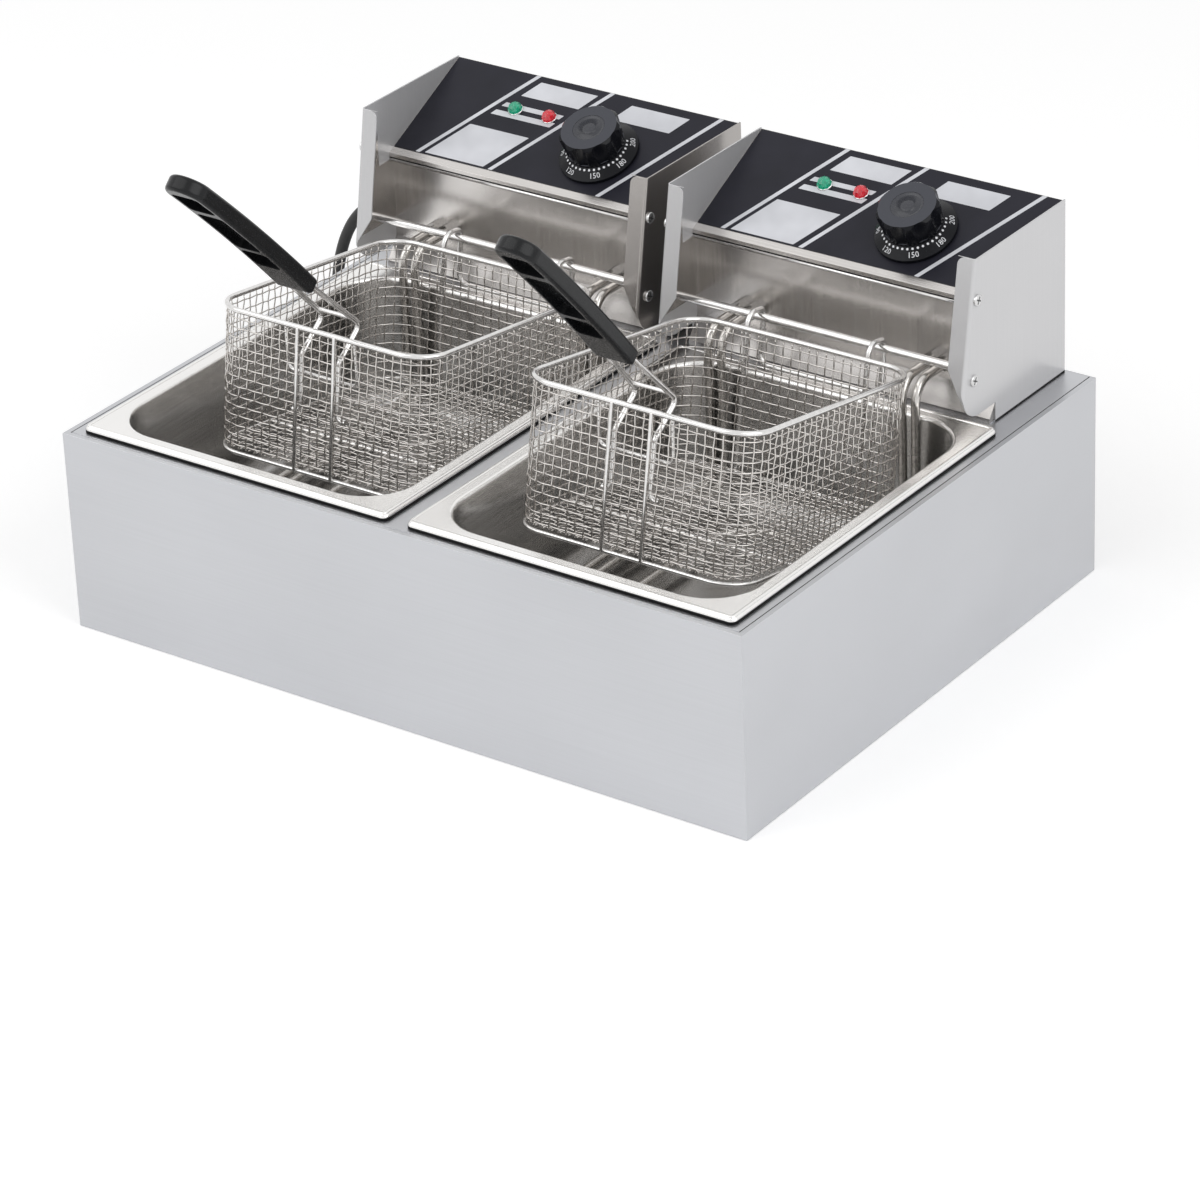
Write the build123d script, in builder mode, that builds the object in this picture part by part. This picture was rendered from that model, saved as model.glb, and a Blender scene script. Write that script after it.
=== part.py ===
from build123d import *
import os
from math import atan, cos, dist, hypot, pi, radians, sin, sqrt, tan

# Countertop electric deep fryer with two tanks. Millimetres, +Z up, the front faces -Y,
# and the origin is the middle of the cabinet's underside.

# Cabinet: a folded sheet box, closed below by a base plate and behind by a screwed panel
cabinet_width = 570.0
cabinet_depth = 445.0
cabinet_height = 152.0
cabinet_sheet = 1.0
rear_flange_width = 14.0
seam_inset = 4.0
seam_width = 0.8
seam_depth = 0.5
rear_screw_rows = 2
rear_screw_columns = 4
screw_head_diameter = 8.5
screw_head_height = 2.0
screw_shank_diameter = 3.9
screw_hole_diameter = 4.0

# Tanks: drawn pans of a half gastronorm footprint, hung by their flanges in the deck
tank_flange_width = 265.0
tank_flange_depth = 325.0
tank_gap = 16.6
tank_front_margin = 8.5
tank_rim_height = 5.0
tank_edge_radius = 3.0
tank_well_width = 240.0
tank_well_depth = 300.0
tank_well_drop = 100.0
tank_well_corner_radius = 38.0
tank_floor_radius = 16.0
tank_flange_corner_radius = 5.0
tank_draft = 3.0
tank_sheet = 1.0
tank_clearance = 2.0

# Control heads: sheet boxes that stand on the deck behind the tanks
head_width = 253.0
head_depth = 138.5
head_gap = 17.0
head_rear_margin = 3.0
head_sheet = 1.0
cheek_height = 132.0
cheek_lean = 10.0
cheek_bend_radius = 2.5
cheek_flange_width = 14.0
cheek_flange_corner = 6.0
cheek_flange_taper = 18.0
cheek_flange_toe = 3.5
wing_depth = 46.0
wing_clearance = 15.0
wing_radius = 20.0
panel_angle = 26.0
panel_depth = 90.0
panel_rear_drop = 1.0
lip_height = 3.0
lip_return = 7.0
baffle_setback = 3.0
baffle_toe_rise = 4.0
baffle_bend_rise = 20.0
baffle_toe_reach = 12.0
baffle_bead_gap = 1.2
baffle_bead_drop = 2.5
ear_top_rise = 109.0
ear_tab_depth = 18.0
ear_gap = 0.3
cheek_screws_at = ((16.5, 43.5), (21.5, 102.0))
overlay_thickness = 0.5
overlay_front_margin = 6.5
overlay_edge_gap = 0.6

# Hanger rod between the cheeks
rod_diameter = 6.0
rod_rise = 46.5
rod_inset = 23.0

# Heating elements: two bent tubes in each head, one loop inside the other
element_diameter = 6.5
element_outer_leg = 86.0
element_inner_leg = 75.0
element_inner_loop = 39.0
element_exit_rise = 35.0
element_wall_gap = 10.5
element_floor_gap = 10.0
element_bend_radius = 16.0
element_outer_radius = 40.0
element_front_margin = 36.0
element_inner_front = 26.0
element_inner_back = 46.0
element_tail = 18.0
nut_across_flats = 10.6
nut_height = 7.0
nut_clearance = 0.1
element_hole_clearance = 0.4

# Thermostat, knob, lamps and terminal block
knob_x = 37.0
knob_up_panel = 44.0
lamp_up_panel = 64.5
green_lamp_x = -51.0
red_lamp_x = -20.5
thermostat_diameter = 34.0
thermostat_height = 24.0
shaft_diameter = 6.0
shaft_hole_diameter = 9.0
knob_bore_clearance = 0.05
knob_bore_depth = 15.0
knob_gap = 0.8
skirt_diameter = 60.0
skirt_edge = 2.0
skirt_height = 7.5
knob_diameter = 43.0
knob_height = 27.0
knob_top_diameter = 46.0
knob_chamfer = 2.0
knob_flutes = 9
flute_radius = 12.0
flute_depth = 2.2
cap_diameter = 24.0
cap_thickness = 1.2
lamp_diameter = 12.0
lamp_dome_height = 5.0
lamp_collar_height = 1.2
lamp_barrel_diameter = 9.6
lamp_barrel_length = 18.0
lamp_hole_clearance = 0.2
terminal_width = 46.0
terminal_depth = 20.0
terminal_height = 17.0
terminal_poles = 3
terminal_from_rear = 24.0

# Baskets: wire frames and mesh that hang on the rods, drawn from the rod's axis
basket_width = 186.0
basket_depth = 207.5
basket_height = 105.0
basket_corner_radius = 25.0
basket_shift = 2.5
basket_tilts = {"left": 8.0, "right": 10.3}
hook_reach = 19.4
rim_drop = 4.8
rim_wire = 4.0
ring_wire = 3.0
net_thickness = 1.2
net_pitch = 10.5
floor_pitch = 12.5
net_strand = 1.6
wire_clearance = 0.3
hook_wire = 4.0
hook_spacing = 100.0
hook_shoulder_radius = 9.0
hook_tail = 36.0
hook_tail_radius = 8.0
floor_wires = 2
bracket_wire = 2.5
keeper_width = 60.0
keeper_drop = 35.0
keeper_radius = 5.0
keeper_start = 2.5

# Handles: bent wires with a moulded grip, clipped inside the basket's front wall
handle_wire = 4.0
handle_wire_spacing = 32.0
handle_neck_spacing = 23.0
handle_angle = 37.5
handle_elbow_inset = 27.0
handle_elbow_drop = -3.0
handle_elbow_radius = 5.0
handle_knee_drop = 20.0
handle_knee_radius = 6.0
handle_leg_drop = 62.0
handle_foot = 7.0
handle_foot_radius = 4.0
handle_neck = 64.0
handle_bar_wire = 3.0
grip_length = 166.0
grip_thickness = 12.0
grip_width_at_neck = 30.0
grip_width_at_end = 31.0
grip_arch = 2.0
grip_edge_radius = 3.0
grip_socket_depth = 32.0
grip_socket_clearance = 0.1
grip_hole_diameter = 10.0
grip_hole_from_end = 19.5
grip_slot_from_end = 50.0
grip_slot_length = 48.0
grip_slot_width = 12.0
grip_slot_tip = 4.0
grip_skin = 4.0
grip_wall = 4.0
grip_pockets = ((12.0, 40.0), (46.0, 102.0), (106.0, 130.0))
grip_pocket_radius = 4.0
grip_grooves = 6
grip_groove_pitch = 8.0
grip_groove_width = 2.5
grip_groove_depth = 0.8
grip_groove_reach = 9.0

# Mains cord of the left head, laid behind the cabinet in a coil of two layers
cord_diameter = 9.0
gland_flange_diameter = 24.0
gland_flange_thickness = 3.0
gland_stem_diameter = 15.0
gland_hole_clearance = 0.1
gland_nut_thickness = 4.0
relief_base_diameter = 17.0
relief_tip_diameter = 12.0
gland_length = 25.5
gland_from_rear = 37.0
gland_rise = 18.0
right_gland_x = -80.0
cord_route = [
    (-287, 182.5, 170), (-312, 182.5, 170), (-335, 182, 155), (-350, 181, 131), (-358.5, 179.5, 98),
    (-359.5, 180, 66), (-359, 189, 37), (-358, 210, 17), (-357, 238, 7.5), (-356, 268, 5.5),
    (-356, 295, 5.5),
]
arc_share = 0.45
coil_radius = 57.0
coil_pitch = 9.7
coil_spiral_turns = 1.375
coil_climb_turns = 0.5
coil_tail = 20.0
tie_thickness = 1.0
tie_width = 12.0
tie_gap = 0.4
tie_turn = 0.125
plug_relief_length = 24.0
plug_length = 38.0
plug_width = 30.0
plug_corner_radius = 5.0
blade_length = 18.0
blade_height = 6.5
blade_thickness = 1.6
blade_spacing = 12.6
earth_pin_diameter = 4.8
earth_pin_rise = 7.0

# Places that the pieces share
deck_z = cabinet_height
front_y = -cabinet_depth / 2
rear_y = cabinet_depth / 2
tank_x = (tank_flange_width + tank_gap) / 2
tank_y = front_y + tank_front_margin + tank_flange_depth / 2
tank_flange_z = deck_z + tank_rim_height
tank_floor_z = tank_flange_z - tank_well_drop
tank_rear_wall_y = tank_y + tank_well_depth / 2
tank_front_wall_y = tank_y - tank_well_depth / 2
head_x = (head_width + head_gap) / 2
head_rear_y = rear_y - head_rear_margin
head_front_y = head_rear_y - head_depth
wing_z = deck_z + wing_clearance
cheek_outer_x = head_width / 2
cheek_inner_x = cheek_outer_x - head_sheet
cheek_top_z = deck_z + cheek_height
panel_rear_z = cheek_top_z - panel_rear_drop
lip_y = head_rear_y - panel_depth
lip_z = panel_rear_z - panel_depth * tan(radians(panel_angle))
lip_bottom_z = lip_z - lip_height
bead_z = lip_bottom_z - baffle_bead_gap - head_sheet
panel_length = panel_depth / cos(radians(panel_angle))
baffle_y = lip_y + baffle_setback
baffle_toe_y = baffle_y - baffle_toe_reach
rod_y = head_front_y + rod_inset
rod_z = deck_z + rod_rise
element_exit_z = deck_z + element_exit_rise
element_leg_y = tank_rear_wall_y - element_wall_gap
element_floor_z = tank_floor_z + element_floor_gap
ear_x = cheek_inner_x - head_sheet
panel_plane = Plane(
    origin=(0, lip_y, lip_z),
    x_dir=(1, 0, 0),
    z_dir=(0, -sin(radians(panel_angle)), cos(radians(panel_angle))),
)
overlay_plane = panel_plane.offset(overlay_thickness)
inner_panel_plane = panel_plane.offset(-head_sheet)
knob_plane = overlay_plane.offset(knob_gap)
sides = {"left": -1, "right": 1}

# Basket places, measured from the rod's axis
rear_rim_y = -hook_reach
front_rim_y = rear_rim_y - basket_depth
basket_middle_y = (rear_rim_y + front_rim_y) / 2
rim_z = -rim_drop
ring_z = rim_z - basket_height
net_top_z = rim_z - rim_wire / 2 - wire_clearance
net_bottom_z = ring_z + ring_wire / 2 + wire_clearance
net_height = net_top_z - net_bottom_z
net_flat_width = basket_width - 2 * basket_corner_radius
net_flat_depth = basket_depth - 2 * basket_corner_radius
bracket_y = front_rim_y - net_thickness / 2 - wire_clearance - bracket_wire / 2
handle_leg_y = front_rim_y + rim_wire / 2 + wire_clearance + handle_wire / 2
keeper_y = handle_leg_y + handle_wire / 2 + wire_clearance + bracket_wire / 2

os.makedirs("parts", exist_ok=True)


def write(piece, label):
    """Labels a finished piece and writes it as a node of that name."""
    piece.label = label
    export_step(piece, f"parts/{label}.step")


def tube(points, radii, diameter):
    """A round bar along straight runs joined by tangent arcs."""
    with BuildPart() as bar:
        with BuildLine() as path:
            FilletPolyline(*points, radius=radii)
        with BuildSketch(path.wire() ^ 0):
            Circle(diameter / 2)
        sweep()
    return bar.part


# Cabinet


def cabinet_shell():
    """Front, sides and deck in one folded sheet, with a seam on the deck and flanges behind."""
    shell_depth = cabinet_depth - cabinet_sheet
    middle_y = -cabinet_sheet / 2
    inner_width = cabinet_width - 2 * cabinet_sheet
    flange_y = rear_y - cabinet_sheet
    seam_span = cabinet_width - 2 * seam_inset
    with BuildPart() as shell:
        with BuildSketch():
            with Locations((0, middle_y)):
                Rectangle(cabinet_width, shell_depth)
        extrude(amount=cabinet_height)
        with BuildSketch():
            with Locations((0, middle_y + cabinet_sheet / 2)):
                Rectangle(inner_width, shell_depth - cabinet_sheet)
        extrude(amount=cabinet_height - cabinet_sheet, mode=Mode.SUBTRACT)
        with BuildSketch(Plane.XZ.offset(-flange_y)):
            with Locations((0, cabinet_height / 2)):
                Rectangle(cabinet_width, cabinet_height)
            with Locations((0, (cabinet_height - rear_flange_width) / 2)):
                Rectangle(
                    cabinet_width - 2 * rear_flange_width,
                    cabinet_height - rear_flange_width,
                    mode=Mode.SUBTRACT,
                )
        extrude(amount=cabinet_sheet)
        with BuildSketch(Plane.XY.offset(deck_z)):
            with Locations((-tank_x, tank_y), (tank_x, tank_y)):
                RectangleRounded(
                    tank_well_width + 2 * (tank_sheet + tank_clearance),
                    tank_well_depth + 2 * (tank_sheet + tank_clearance),
                    tank_well_corner_radius + tank_sheet + tank_clearance,
                )
        extrude(amount=-cabinet_sheet, mode=Mode.SUBTRACT)
        with BuildSketch(Plane.XY.offset(deck_z)):
            with Locations((0, seam_inset)):
                Rectangle(seam_span, cabinet_depth)
            with Locations((0, seam_inset + seam_width)):
                Rectangle(seam_span - 2 * seam_width, cabinet_depth, mode=Mode.SUBTRACT)
            with Locations((0, rear_y + seam_inset)):
                Rectangle(cabinet_width, 2 * seam_inset, mode=Mode.SUBTRACT)
        extrude(amount=-seam_depth, mode=Mode.SUBTRACT)
        with BuildSketch(Plane.XZ.offset(-rear_y)):
            with Locations(*rear_screw_places()):
                Circle(screw_hole_diameter / 2)
        extrude(amount=2 * cabinet_sheet, mode=Mode.SUBTRACT)
    return shell.part


def rear_screw_places():
    """The rear panel's screws, on the middle of the cabinet's rear flanges."""
    inset = rear_flange_width / 2
    top_z = cabinet_height - inset
    half_width = cabinet_width / 2 - inset
    step = 2 * half_width / (rear_screw_columns - 1)
    top_row = [(-half_width + i * step, top_z) for i in range(rear_screw_columns)]
    drop = (cabinet_height - rear_flange_width) / rear_screw_rows
    lower_heights = [top_z - drop * row for row in range(1, rear_screw_rows)]
    lower_rows = [(x, z) for z in lower_heights for x in (-half_width, half_width)]
    return top_row + lower_rows


def rear_panel():
    """Flat sheet on the rear flanges."""
    with BuildPart() as panel:
        with BuildSketch(Plane.XZ.offset(-rear_y)):
            with Locations((0, cabinet_height / 2)):
                Rectangle(cabinet_width, cabinet_height)
            with Locations(*rear_screw_places()):
                Circle(screw_hole_diameter / 2, mode=Mode.SUBTRACT)
        extrude(amount=cabinet_sheet)
    return panel.part


def rear_panel_screws():
    """Pan-head screws through the rear panel and the flanges."""
    with BuildPart() as screws:
        with BuildSketch(Plane.XZ.offset(-rear_y)):
            with Locations(*rear_screw_places()):
                Circle(screw_head_diameter / 2)
        extrude(amount=-screw_head_height)
        fillet(
            screws.edges().filter_by(GeomType.CIRCLE).group_by(Axis.Y)[-1],
            screw_head_height / 2,
        )
        with BuildSketch(Plane.XZ.offset(-rear_y)):
            with Locations(*rear_screw_places()):
                Circle(screw_shank_diameter / 2)
        extrude(amount=3 * cabinet_sheet)
    return screws.part


def base_plate():
    """Flat sheet inside the walls, level with their lower edges."""
    inner_depth = cabinet_depth - 3 * cabinet_sheet
    with BuildPart() as plate:
        with BuildSketch():
            with Locations((0, -cabinet_sheet / 2)):
                Rectangle(cabinet_width - 2 * cabinet_sheet, inner_depth)
        extrude(amount=cabinet_sheet)
    return plate.part


# Tanks


def tank():
    """Drawn pan about its own middle: a flange with a turned-down rim, and a drafted, rounded well."""
    inner_radius = tank_edge_radius - tank_sheet
    well_width = tank_well_width + 2 * tank_sheet
    well_depth = tank_well_depth + 2 * tank_sheet
    well_radius = tank_well_corner_radius + tank_sheet
    with BuildPart() as hollow:
        with BuildSketch(Plane.XY.offset(tank_flange_z)):
            RectangleRounded(tank_well_width, tank_well_depth, tank_well_corner_radius)
        extrude(amount=-tank_well_drop, taper=tank_draft)
        fillet(hollow.faces().sort_by(Axis.Z)[0].edges(), tank_floor_radius)
    with BuildPart() as under_flange:
        with BuildSketch(Plane.XY.offset(deck_z)):
            RectangleRounded(
                tank_flange_width - 2 * tank_sheet,
                tank_flange_depth - 2 * tank_sheet,
                tank_flange_corner_radius - tank_sheet,
            )
            RectangleRounded(well_width, well_depth, well_radius, mode=Mode.SUBTRACT)
        extrude(amount=tank_rim_height - tank_sheet)
        fillet(under_flange.faces().sort_by(Axis.Z)[-1].edges(), inner_radius)
    with BuildPart() as well:
        with BuildSketch(Plane.XY.offset(tank_flange_z)):
            RectangleRounded(well_width, well_depth, well_radius)
        extrude(amount=-(tank_well_drop + tank_sheet), taper=tank_draft)
        fillet(well.faces().sort_by(Axis.Z)[0].edges(), tank_floor_radius + tank_sheet)
    with BuildPart() as pan:
        with BuildSketch(Plane.XY.offset(deck_z)):
            RectangleRounded(tank_flange_width, tank_flange_depth, tank_flange_corner_radius)
        extrude(amount=tank_rim_height)
        fillet(pan.faces().sort_by(Axis.Z)[-1].edges(), tank_edge_radius)
        add(well.part)
        add(under_flange.part, mode=Mode.SUBTRACT)
        add(hollow.part, mode=Mode.SUBTRACT)
        fillet(pan.faces().sort_by(Axis.Z)[-1].inner_wires()[0].edges(), tank_edge_radius)
    return pan.part


# Control heads, drawn about the head's own middle plane


def front_edge_y(z):
    """Where the cheeks' leaning front edge is at one height."""
    return head_front_y + (z - wing_z) * tan(radians(cheek_lean))


def cheek_screw_places():
    """The cheeks' screws, in Y and Z."""
    return [(head_front_y + inset, deck_z + rise) for inset, rise in cheek_screws_at]


def cheek(side, gland_hole):
    """One side sheet: a wing over the tank's flange, a leaning front edge and an inward flange along it."""
    lean = radians(cheek_lean)
    foot = (0, head_front_y, wing_z)
    edge_length = (cheek_top_z - wing_z) / cos(lean)
    edge_plane = Plane(origin=foot, x_dir=(1, 0, 0), z_dir=(0, sin(lean), cos(lean)))
    section_plane = edge_plane.offset(-2 * wing_clearance)
    front_plane = Plane(origin=foot, x_dir=(1, 0, 0), z_dir=(0, -cos(lean), sin(lean)))
    notch_y = head_front_y + wing_depth
    inner_x = cheek_outer_x - cheek_flange_width
    flange_foot = wing_radius
    corner = cheek_flange_corner
    with BuildPart() as plate:
        with BuildSketch(section_plane):
            with BuildLine():
                FilletPolyline(
                    (inner_x, 0),
                    (cheek_outer_x, 0),
                    (cheek_outer_x, 2 * head_depth),
                    radius=cheek_bend_radius,
                )
                offset(amount=head_sheet, side=Side.LEFT, kind=Kind.INTERSECTION)
            make_face()
        extrude(amount=edge_length + wing_clearance * 4)
        with BuildSketch(Plane.YZ.offset(inner_x - 1)) as outline:
            with BuildLine():
                Polyline(
                    (front_edge_y(cheek_top_z), cheek_top_z),
                    (head_rear_y, cheek_top_z),
                    (head_rear_y, deck_z),
                    (notch_y, deck_z),
                    (notch_y, wing_z),
                    (head_front_y, wing_z),
                    close=True,
                )
            make_face()
            fillet(outline.vertices().sort_by(Axis.X)[0], wing_radius)
            with Locations(*cheek_screw_places()):
                Circle(screw_hole_diameter / 2, mode=Mode.SUBTRACT)
            if gland_hole:
                with Locations((head_rear_y - gland_from_rear, deck_z + gland_rise)):
                    Circle(gland_stem_diameter / 2 + gland_hole_clearance, mode=Mode.SUBTRACT)
        extrude(amount=cheek_flange_width + 2, mode=Mode.INTERSECT)
        with BuildSketch(front_plane):
            with Locations((inner_x - corner, 0)):
                Rectangle(
                    cheek_flange_width + corner - cheek_bend_radius,
                    2 * edge_length,
                    align=(Align.MIN, Align.CENTER),
                )
            with BuildLine():
                Polyline(
                    (inner_x + corner, edge_length),
                    (cheek_outer_x, edge_length),
                    (cheek_outer_x, flange_foot),
                    (cheek_outer_x - cheek_flange_toe, flange_foot),
                    (inner_x, flange_foot + cheek_flange_taper),
                    (inner_x, edge_length - corner),
                )
                RadiusArc((inner_x, edge_length - corner), (inner_x + corner, edge_length), corner)
            make_face(mode=Mode.SUBTRACT)
        extrude(amount=-2 * head_sheet, mode=Mode.SUBTRACT)
    if side < 0:
        return mirror(plate.part, about=Plane.YZ)
    return plate.part


def cover(gland_hole):
    """Folded sheet: lip, sloped control panel and rear wall, between the cheeks."""
    with BuildPart() as sheet:
        with BuildSketch(Plane.YZ):
            with BuildLine():
                Polyline(
                    (lip_y + lip_return, lip_bottom_z),
                    (lip_y, lip_bottom_z),
                    (lip_y, lip_z),
                    (head_rear_y, panel_rear_z),
                    (head_rear_y, deck_z + head_sheet),
                )
                offset(amount=head_sheet, side=Side.RIGHT, kind=Kind.INTERSECTION)
            make_face()
        extrude(amount=cheek_inner_x, both=True)
        with BuildSketch(panel_plane):
            with Locations((knob_x, knob_up_panel)):
                Circle(shaft_hole_diameter / 2)
            with Locations((green_lamp_x, lamp_up_panel), (red_lamp_x, lamp_up_panel)):
                Circle(lamp_barrel_diameter / 2 + lamp_hole_clearance)
        extrude(amount=-2 * head_sheet, mode=Mode.SUBTRACT)
        if gland_hole:
            with BuildSketch(Plane.XZ.offset(-head_rear_y)):
                with Locations((right_gland_x, deck_z + gland_rise)):
                    Circle(gland_stem_diameter / 2 + gland_hole_clearance)
            extrude(amount=2 * head_sheet, mode=Mode.SUBTRACT)
    return sheet.part


def baffle():
    """Front sheet from a bead under the lip down to a toe on the deck, with an ear at each cheek."""
    ear_bottom_z = wing_z + wing_radius + ear_gap
    ear_top_z = deck_z + ear_top_rise
    ear_behind = cheek_bend_radius + ear_gap
    tab_y = front_edge_y(ear_top_z) + ear_tab_depth
    notch_y = head_front_y + wing_depth
    slope = (baffle_bend_rise - baffle_toe_rise) / baffle_toe_reach
    bead_top_z = bead_z + head_sheet
    bead_back_y = lip_y + head_sheet
    with BuildPart() as sheet:
        with BuildSketch(Plane.YZ):
            with BuildLine():
                Polyline(
                    (baffle_y, bead_z),
                    (baffle_y, deck_z + baffle_bend_rise),
                    (baffle_toe_y, deck_z + baffle_toe_rise),
                    (baffle_toe_y, deck_z),
                )
                offset(amount=head_sheet, side=Side.LEFT, kind=Kind.INTERSECTION)
            make_face()
            with BuildLine():
                Polyline(
                    (lip_y, bead_top_z - baffle_bead_drop),
                    (lip_y, bead_top_z),
                    (baffle_y, bead_top_z),
                    (baffle_y + head_sheet, bead_z),
                    (bead_back_y, bead_z),
                    (bead_back_y, bead_top_z - baffle_bead_drop),
                    close=True,
                )
            make_face()
        extrude(amount=cheek_inner_x, both=True)
        with BuildSketch(Plane.YZ.offset(ear_x)):
            with BuildLine():
                Polyline(
                    (front_edge_y(ear_bottom_z) + ear_behind, ear_bottom_z),
                    (baffle_y, ear_bottom_z),
                    (baffle_y, bead_z),
                    (tab_y, bead_z),
                    (tab_y, ear_top_z),
                    (front_edge_y(ear_top_z) + ear_behind, ear_top_z),
                    close=True,
                )
            make_face()
            with Locations(*cheek_screw_places()):
                Circle(screw_hole_diameter / 2, mode=Mode.SUBTRACT)
            with BuildLine():
                Polyline(
                    (baffle_toe_y, deck_z + head_sheet),
                    (notch_y, deck_z + head_sheet),
                    (notch_y, deck_z + baffle_toe_rise + slope * (notch_y - baffle_toe_y)),
                    (baffle_toe_y, deck_z + baffle_toe_rise),
                    close=True,
                )
            make_face()
        extrude(amount=head_sheet)
        mirror(about=Plane.YZ)
        with BuildSketch(Plane.XZ.offset(-baffle_y)):
            with Locations(*[(x, element_exit_z) for x in element_leg_places()]):
                Circle((element_diameter + element_hole_clearance) / 2)
        extrude(amount=-2 * head_sheet, mode=Mode.SUBTRACT)
    return sheet.part


def element_leg_places():
    return [-element_outer_leg, -element_inner_leg, element_inner_leg, element_outer_leg]


def head_floor():
    """Flat sheet on the deck, from the baffle's toe to the rear wall's lower edge."""
    start_y = baffle_toe_y + head_sheet
    with BuildPart() as plate:
        with BuildSketch(Plane.XY.offset(deck_z)):
            with Locations((0, (start_y + head_rear_y) / 2)):
                Rectangle(2 * cheek_inner_x, head_rear_y - start_y)
        extrude(amount=head_sheet)
    return plate.part


def panel_overlay():
    """Thin printed sheet on the sloped panel."""
    length = panel_length - overlay_front_margin - overlay_edge_gap
    with BuildPart() as sheet:
        with BuildSketch(panel_plane):
            with Locations((0, overlay_front_margin + length / 2)):
                Rectangle(2 * (cheek_inner_x - overlay_edge_gap), length)
            with Locations((knob_x, knob_up_panel)):
                Circle(shaft_hole_diameter / 2, mode=Mode.SUBTRACT)
            with Locations((green_lamp_x, lamp_up_panel), (red_lamp_x, lamp_up_panel)):
                Circle(lamp_barrel_diameter / 2 + lamp_hole_clearance, mode=Mode.SUBTRACT)
        extrude(amount=overlay_thickness)
    return sheet.part


def hanger_rod():
    """Round bar between the baffle's ears."""
    with BuildPart() as rod:
        with BuildSketch(Plane.YZ):
            with Locations((rod_y, rod_z)):
                Circle(rod_diameter / 2)
        extrude(amount=ear_x, both=True)
    return rod.part


def heating_element():
    """Two tubes out of the baffle, down behind the basket and round the tank's floor."""
    tail_y = baffle_y + element_tail
    outer_front_y = tank_front_wall_y + element_front_margin
    inner_front_y = outer_front_y + element_inner_front
    inner_back_y = element_leg_y - element_inner_back
    bend = element_bend_radius
    turn = (element_inner_leg - element_inner_loop) / 2 - 0.1
    outer_half = [
        (element_outer_leg, tail_y, element_exit_z),
        (element_outer_leg, element_leg_y, element_exit_z),
        (element_outer_leg, element_leg_y, element_floor_z),
        (element_outer_leg, outer_front_y, element_floor_z),
    ]
    inner_half = [
        (element_inner_leg, tail_y, element_exit_z),
        (element_inner_leg, element_leg_y, element_exit_z),
        (element_inner_leg, element_leg_y, element_floor_z),
        (element_inner_leg, inner_front_y, element_floor_z),
        (element_inner_loop, inner_front_y, element_floor_z),
        (element_inner_loop, inner_back_y, element_floor_z),
    ]
    outer_radii = [bend, bend, element_outer_radius]
    inner_radii = [bend, bend, turn, turn, element_inner_loop - 0.1]
    outer_tube = tube(there_and_back(outer_half), outer_radii + outer_radii[::-1], element_diameter)
    inner_tube = tube(there_and_back(inner_half), inner_radii + inner_radii[::-1], element_diameter)
    with BuildPart() as tubes:
        add(outer_tube)
        add(inner_tube)
    return tubes.part


def there_and_back(half):
    """A half route and its mirror image across the middle plane, as one route."""
    return half + [(-x, y, z) for x, y, z in reversed(half)]


def element_nuts():
    """Hex nuts that hold the element's legs to the baffle."""
    with BuildPart() as nuts:
        with BuildSketch(Plane.XZ.offset(-baffle_y)):
            with Locations(*[(x, element_exit_z) for x in element_leg_places()]):
                RegularPolygon(nut_across_flats / 2, 6, major_radius=False, rotation=30)
                Circle(element_diameter / 2 + nut_clearance, mode=Mode.SUBTRACT)
        extrude(amount=nut_height)
    return nuts.part


def thermostat():
    """Body under the panel, with the shaft that carries the knob."""
    shaft_length = head_sheet + overlay_thickness + knob_gap + knob_bore_depth - 1
    with BuildPart() as body:
        with BuildSketch(inner_panel_plane):
            with Locations((knob_x, knob_up_panel)):
                Circle(thermostat_diameter / 2)
        extrude(amount=-thermostat_height)
        with BuildSketch(inner_panel_plane):
            with Locations((knob_x, knob_up_panel)):
                Circle(shaft_diameter / 2)
        extrude(amount=shaft_length)
    return body.part


def knob():
    """Fluted knob on a sloped dial skirt, with a blind bore for the shaft and a recess for its cap."""
    axis_plane = Plane(
        origin=knob_plane.from_local_coords((knob_x, knob_up_panel, 0)),
        x_dir=(1, 0, 0),
        z_dir=knob_plane.z_dir,
    )
    side_plane = Plane(origin=axis_plane.origin, x_dir=axis_plane.x_dir, z_dir=-axis_plane.y_dir)
    flute_place = knob_top_diameter / 2 + flute_radius - flute_depth
    with BuildPart() as dial:
        with BuildSketch(side_plane):
            with BuildLine():
                Polyline(
                    (0, 0),
                    (skirt_diameter / 2, 0),
                    (skirt_diameter / 2, skirt_edge),
                    (knob_diameter / 2, skirt_height),
                    (knob_top_diameter / 2, knob_height - knob_chamfer),
                    (knob_top_diameter / 2 - knob_chamfer, knob_height),
                    (0, knob_height),
                    close=True,
                )
            make_face()
        revolve(axis=Axis(axis_plane.origin, axis_plane.z_dir))
        with BuildSketch(axis_plane.offset(knob_height)):
            with PolarLocations(flute_place, knob_flutes):
                Circle(flute_radius)
        extrude(amount=-(knob_height - skirt_height - knob_chamfer), mode=Mode.SUBTRACT)
        with BuildSketch(axis_plane.offset(knob_height)):
            Circle(cap_diameter / 2)
        extrude(amount=-cap_thickness, mode=Mode.SUBTRACT)
        with BuildSketch(axis_plane):
            Circle(shaft_diameter / 2 + knob_bore_clearance)
        extrude(amount=knob_bore_depth, mode=Mode.SUBTRACT)
    return dial.part


def knob_cap():
    """Plain disc in the knob's recess."""
    with BuildPart() as disc:
        with BuildSketch(knob_plane.offset(knob_height - cap_thickness)):
            with Locations((knob_x, knob_up_panel)):
                Circle(cap_diameter / 2 - knob_bore_clearance)
        extrude(amount=cap_thickness)
    return disc.part


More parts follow.
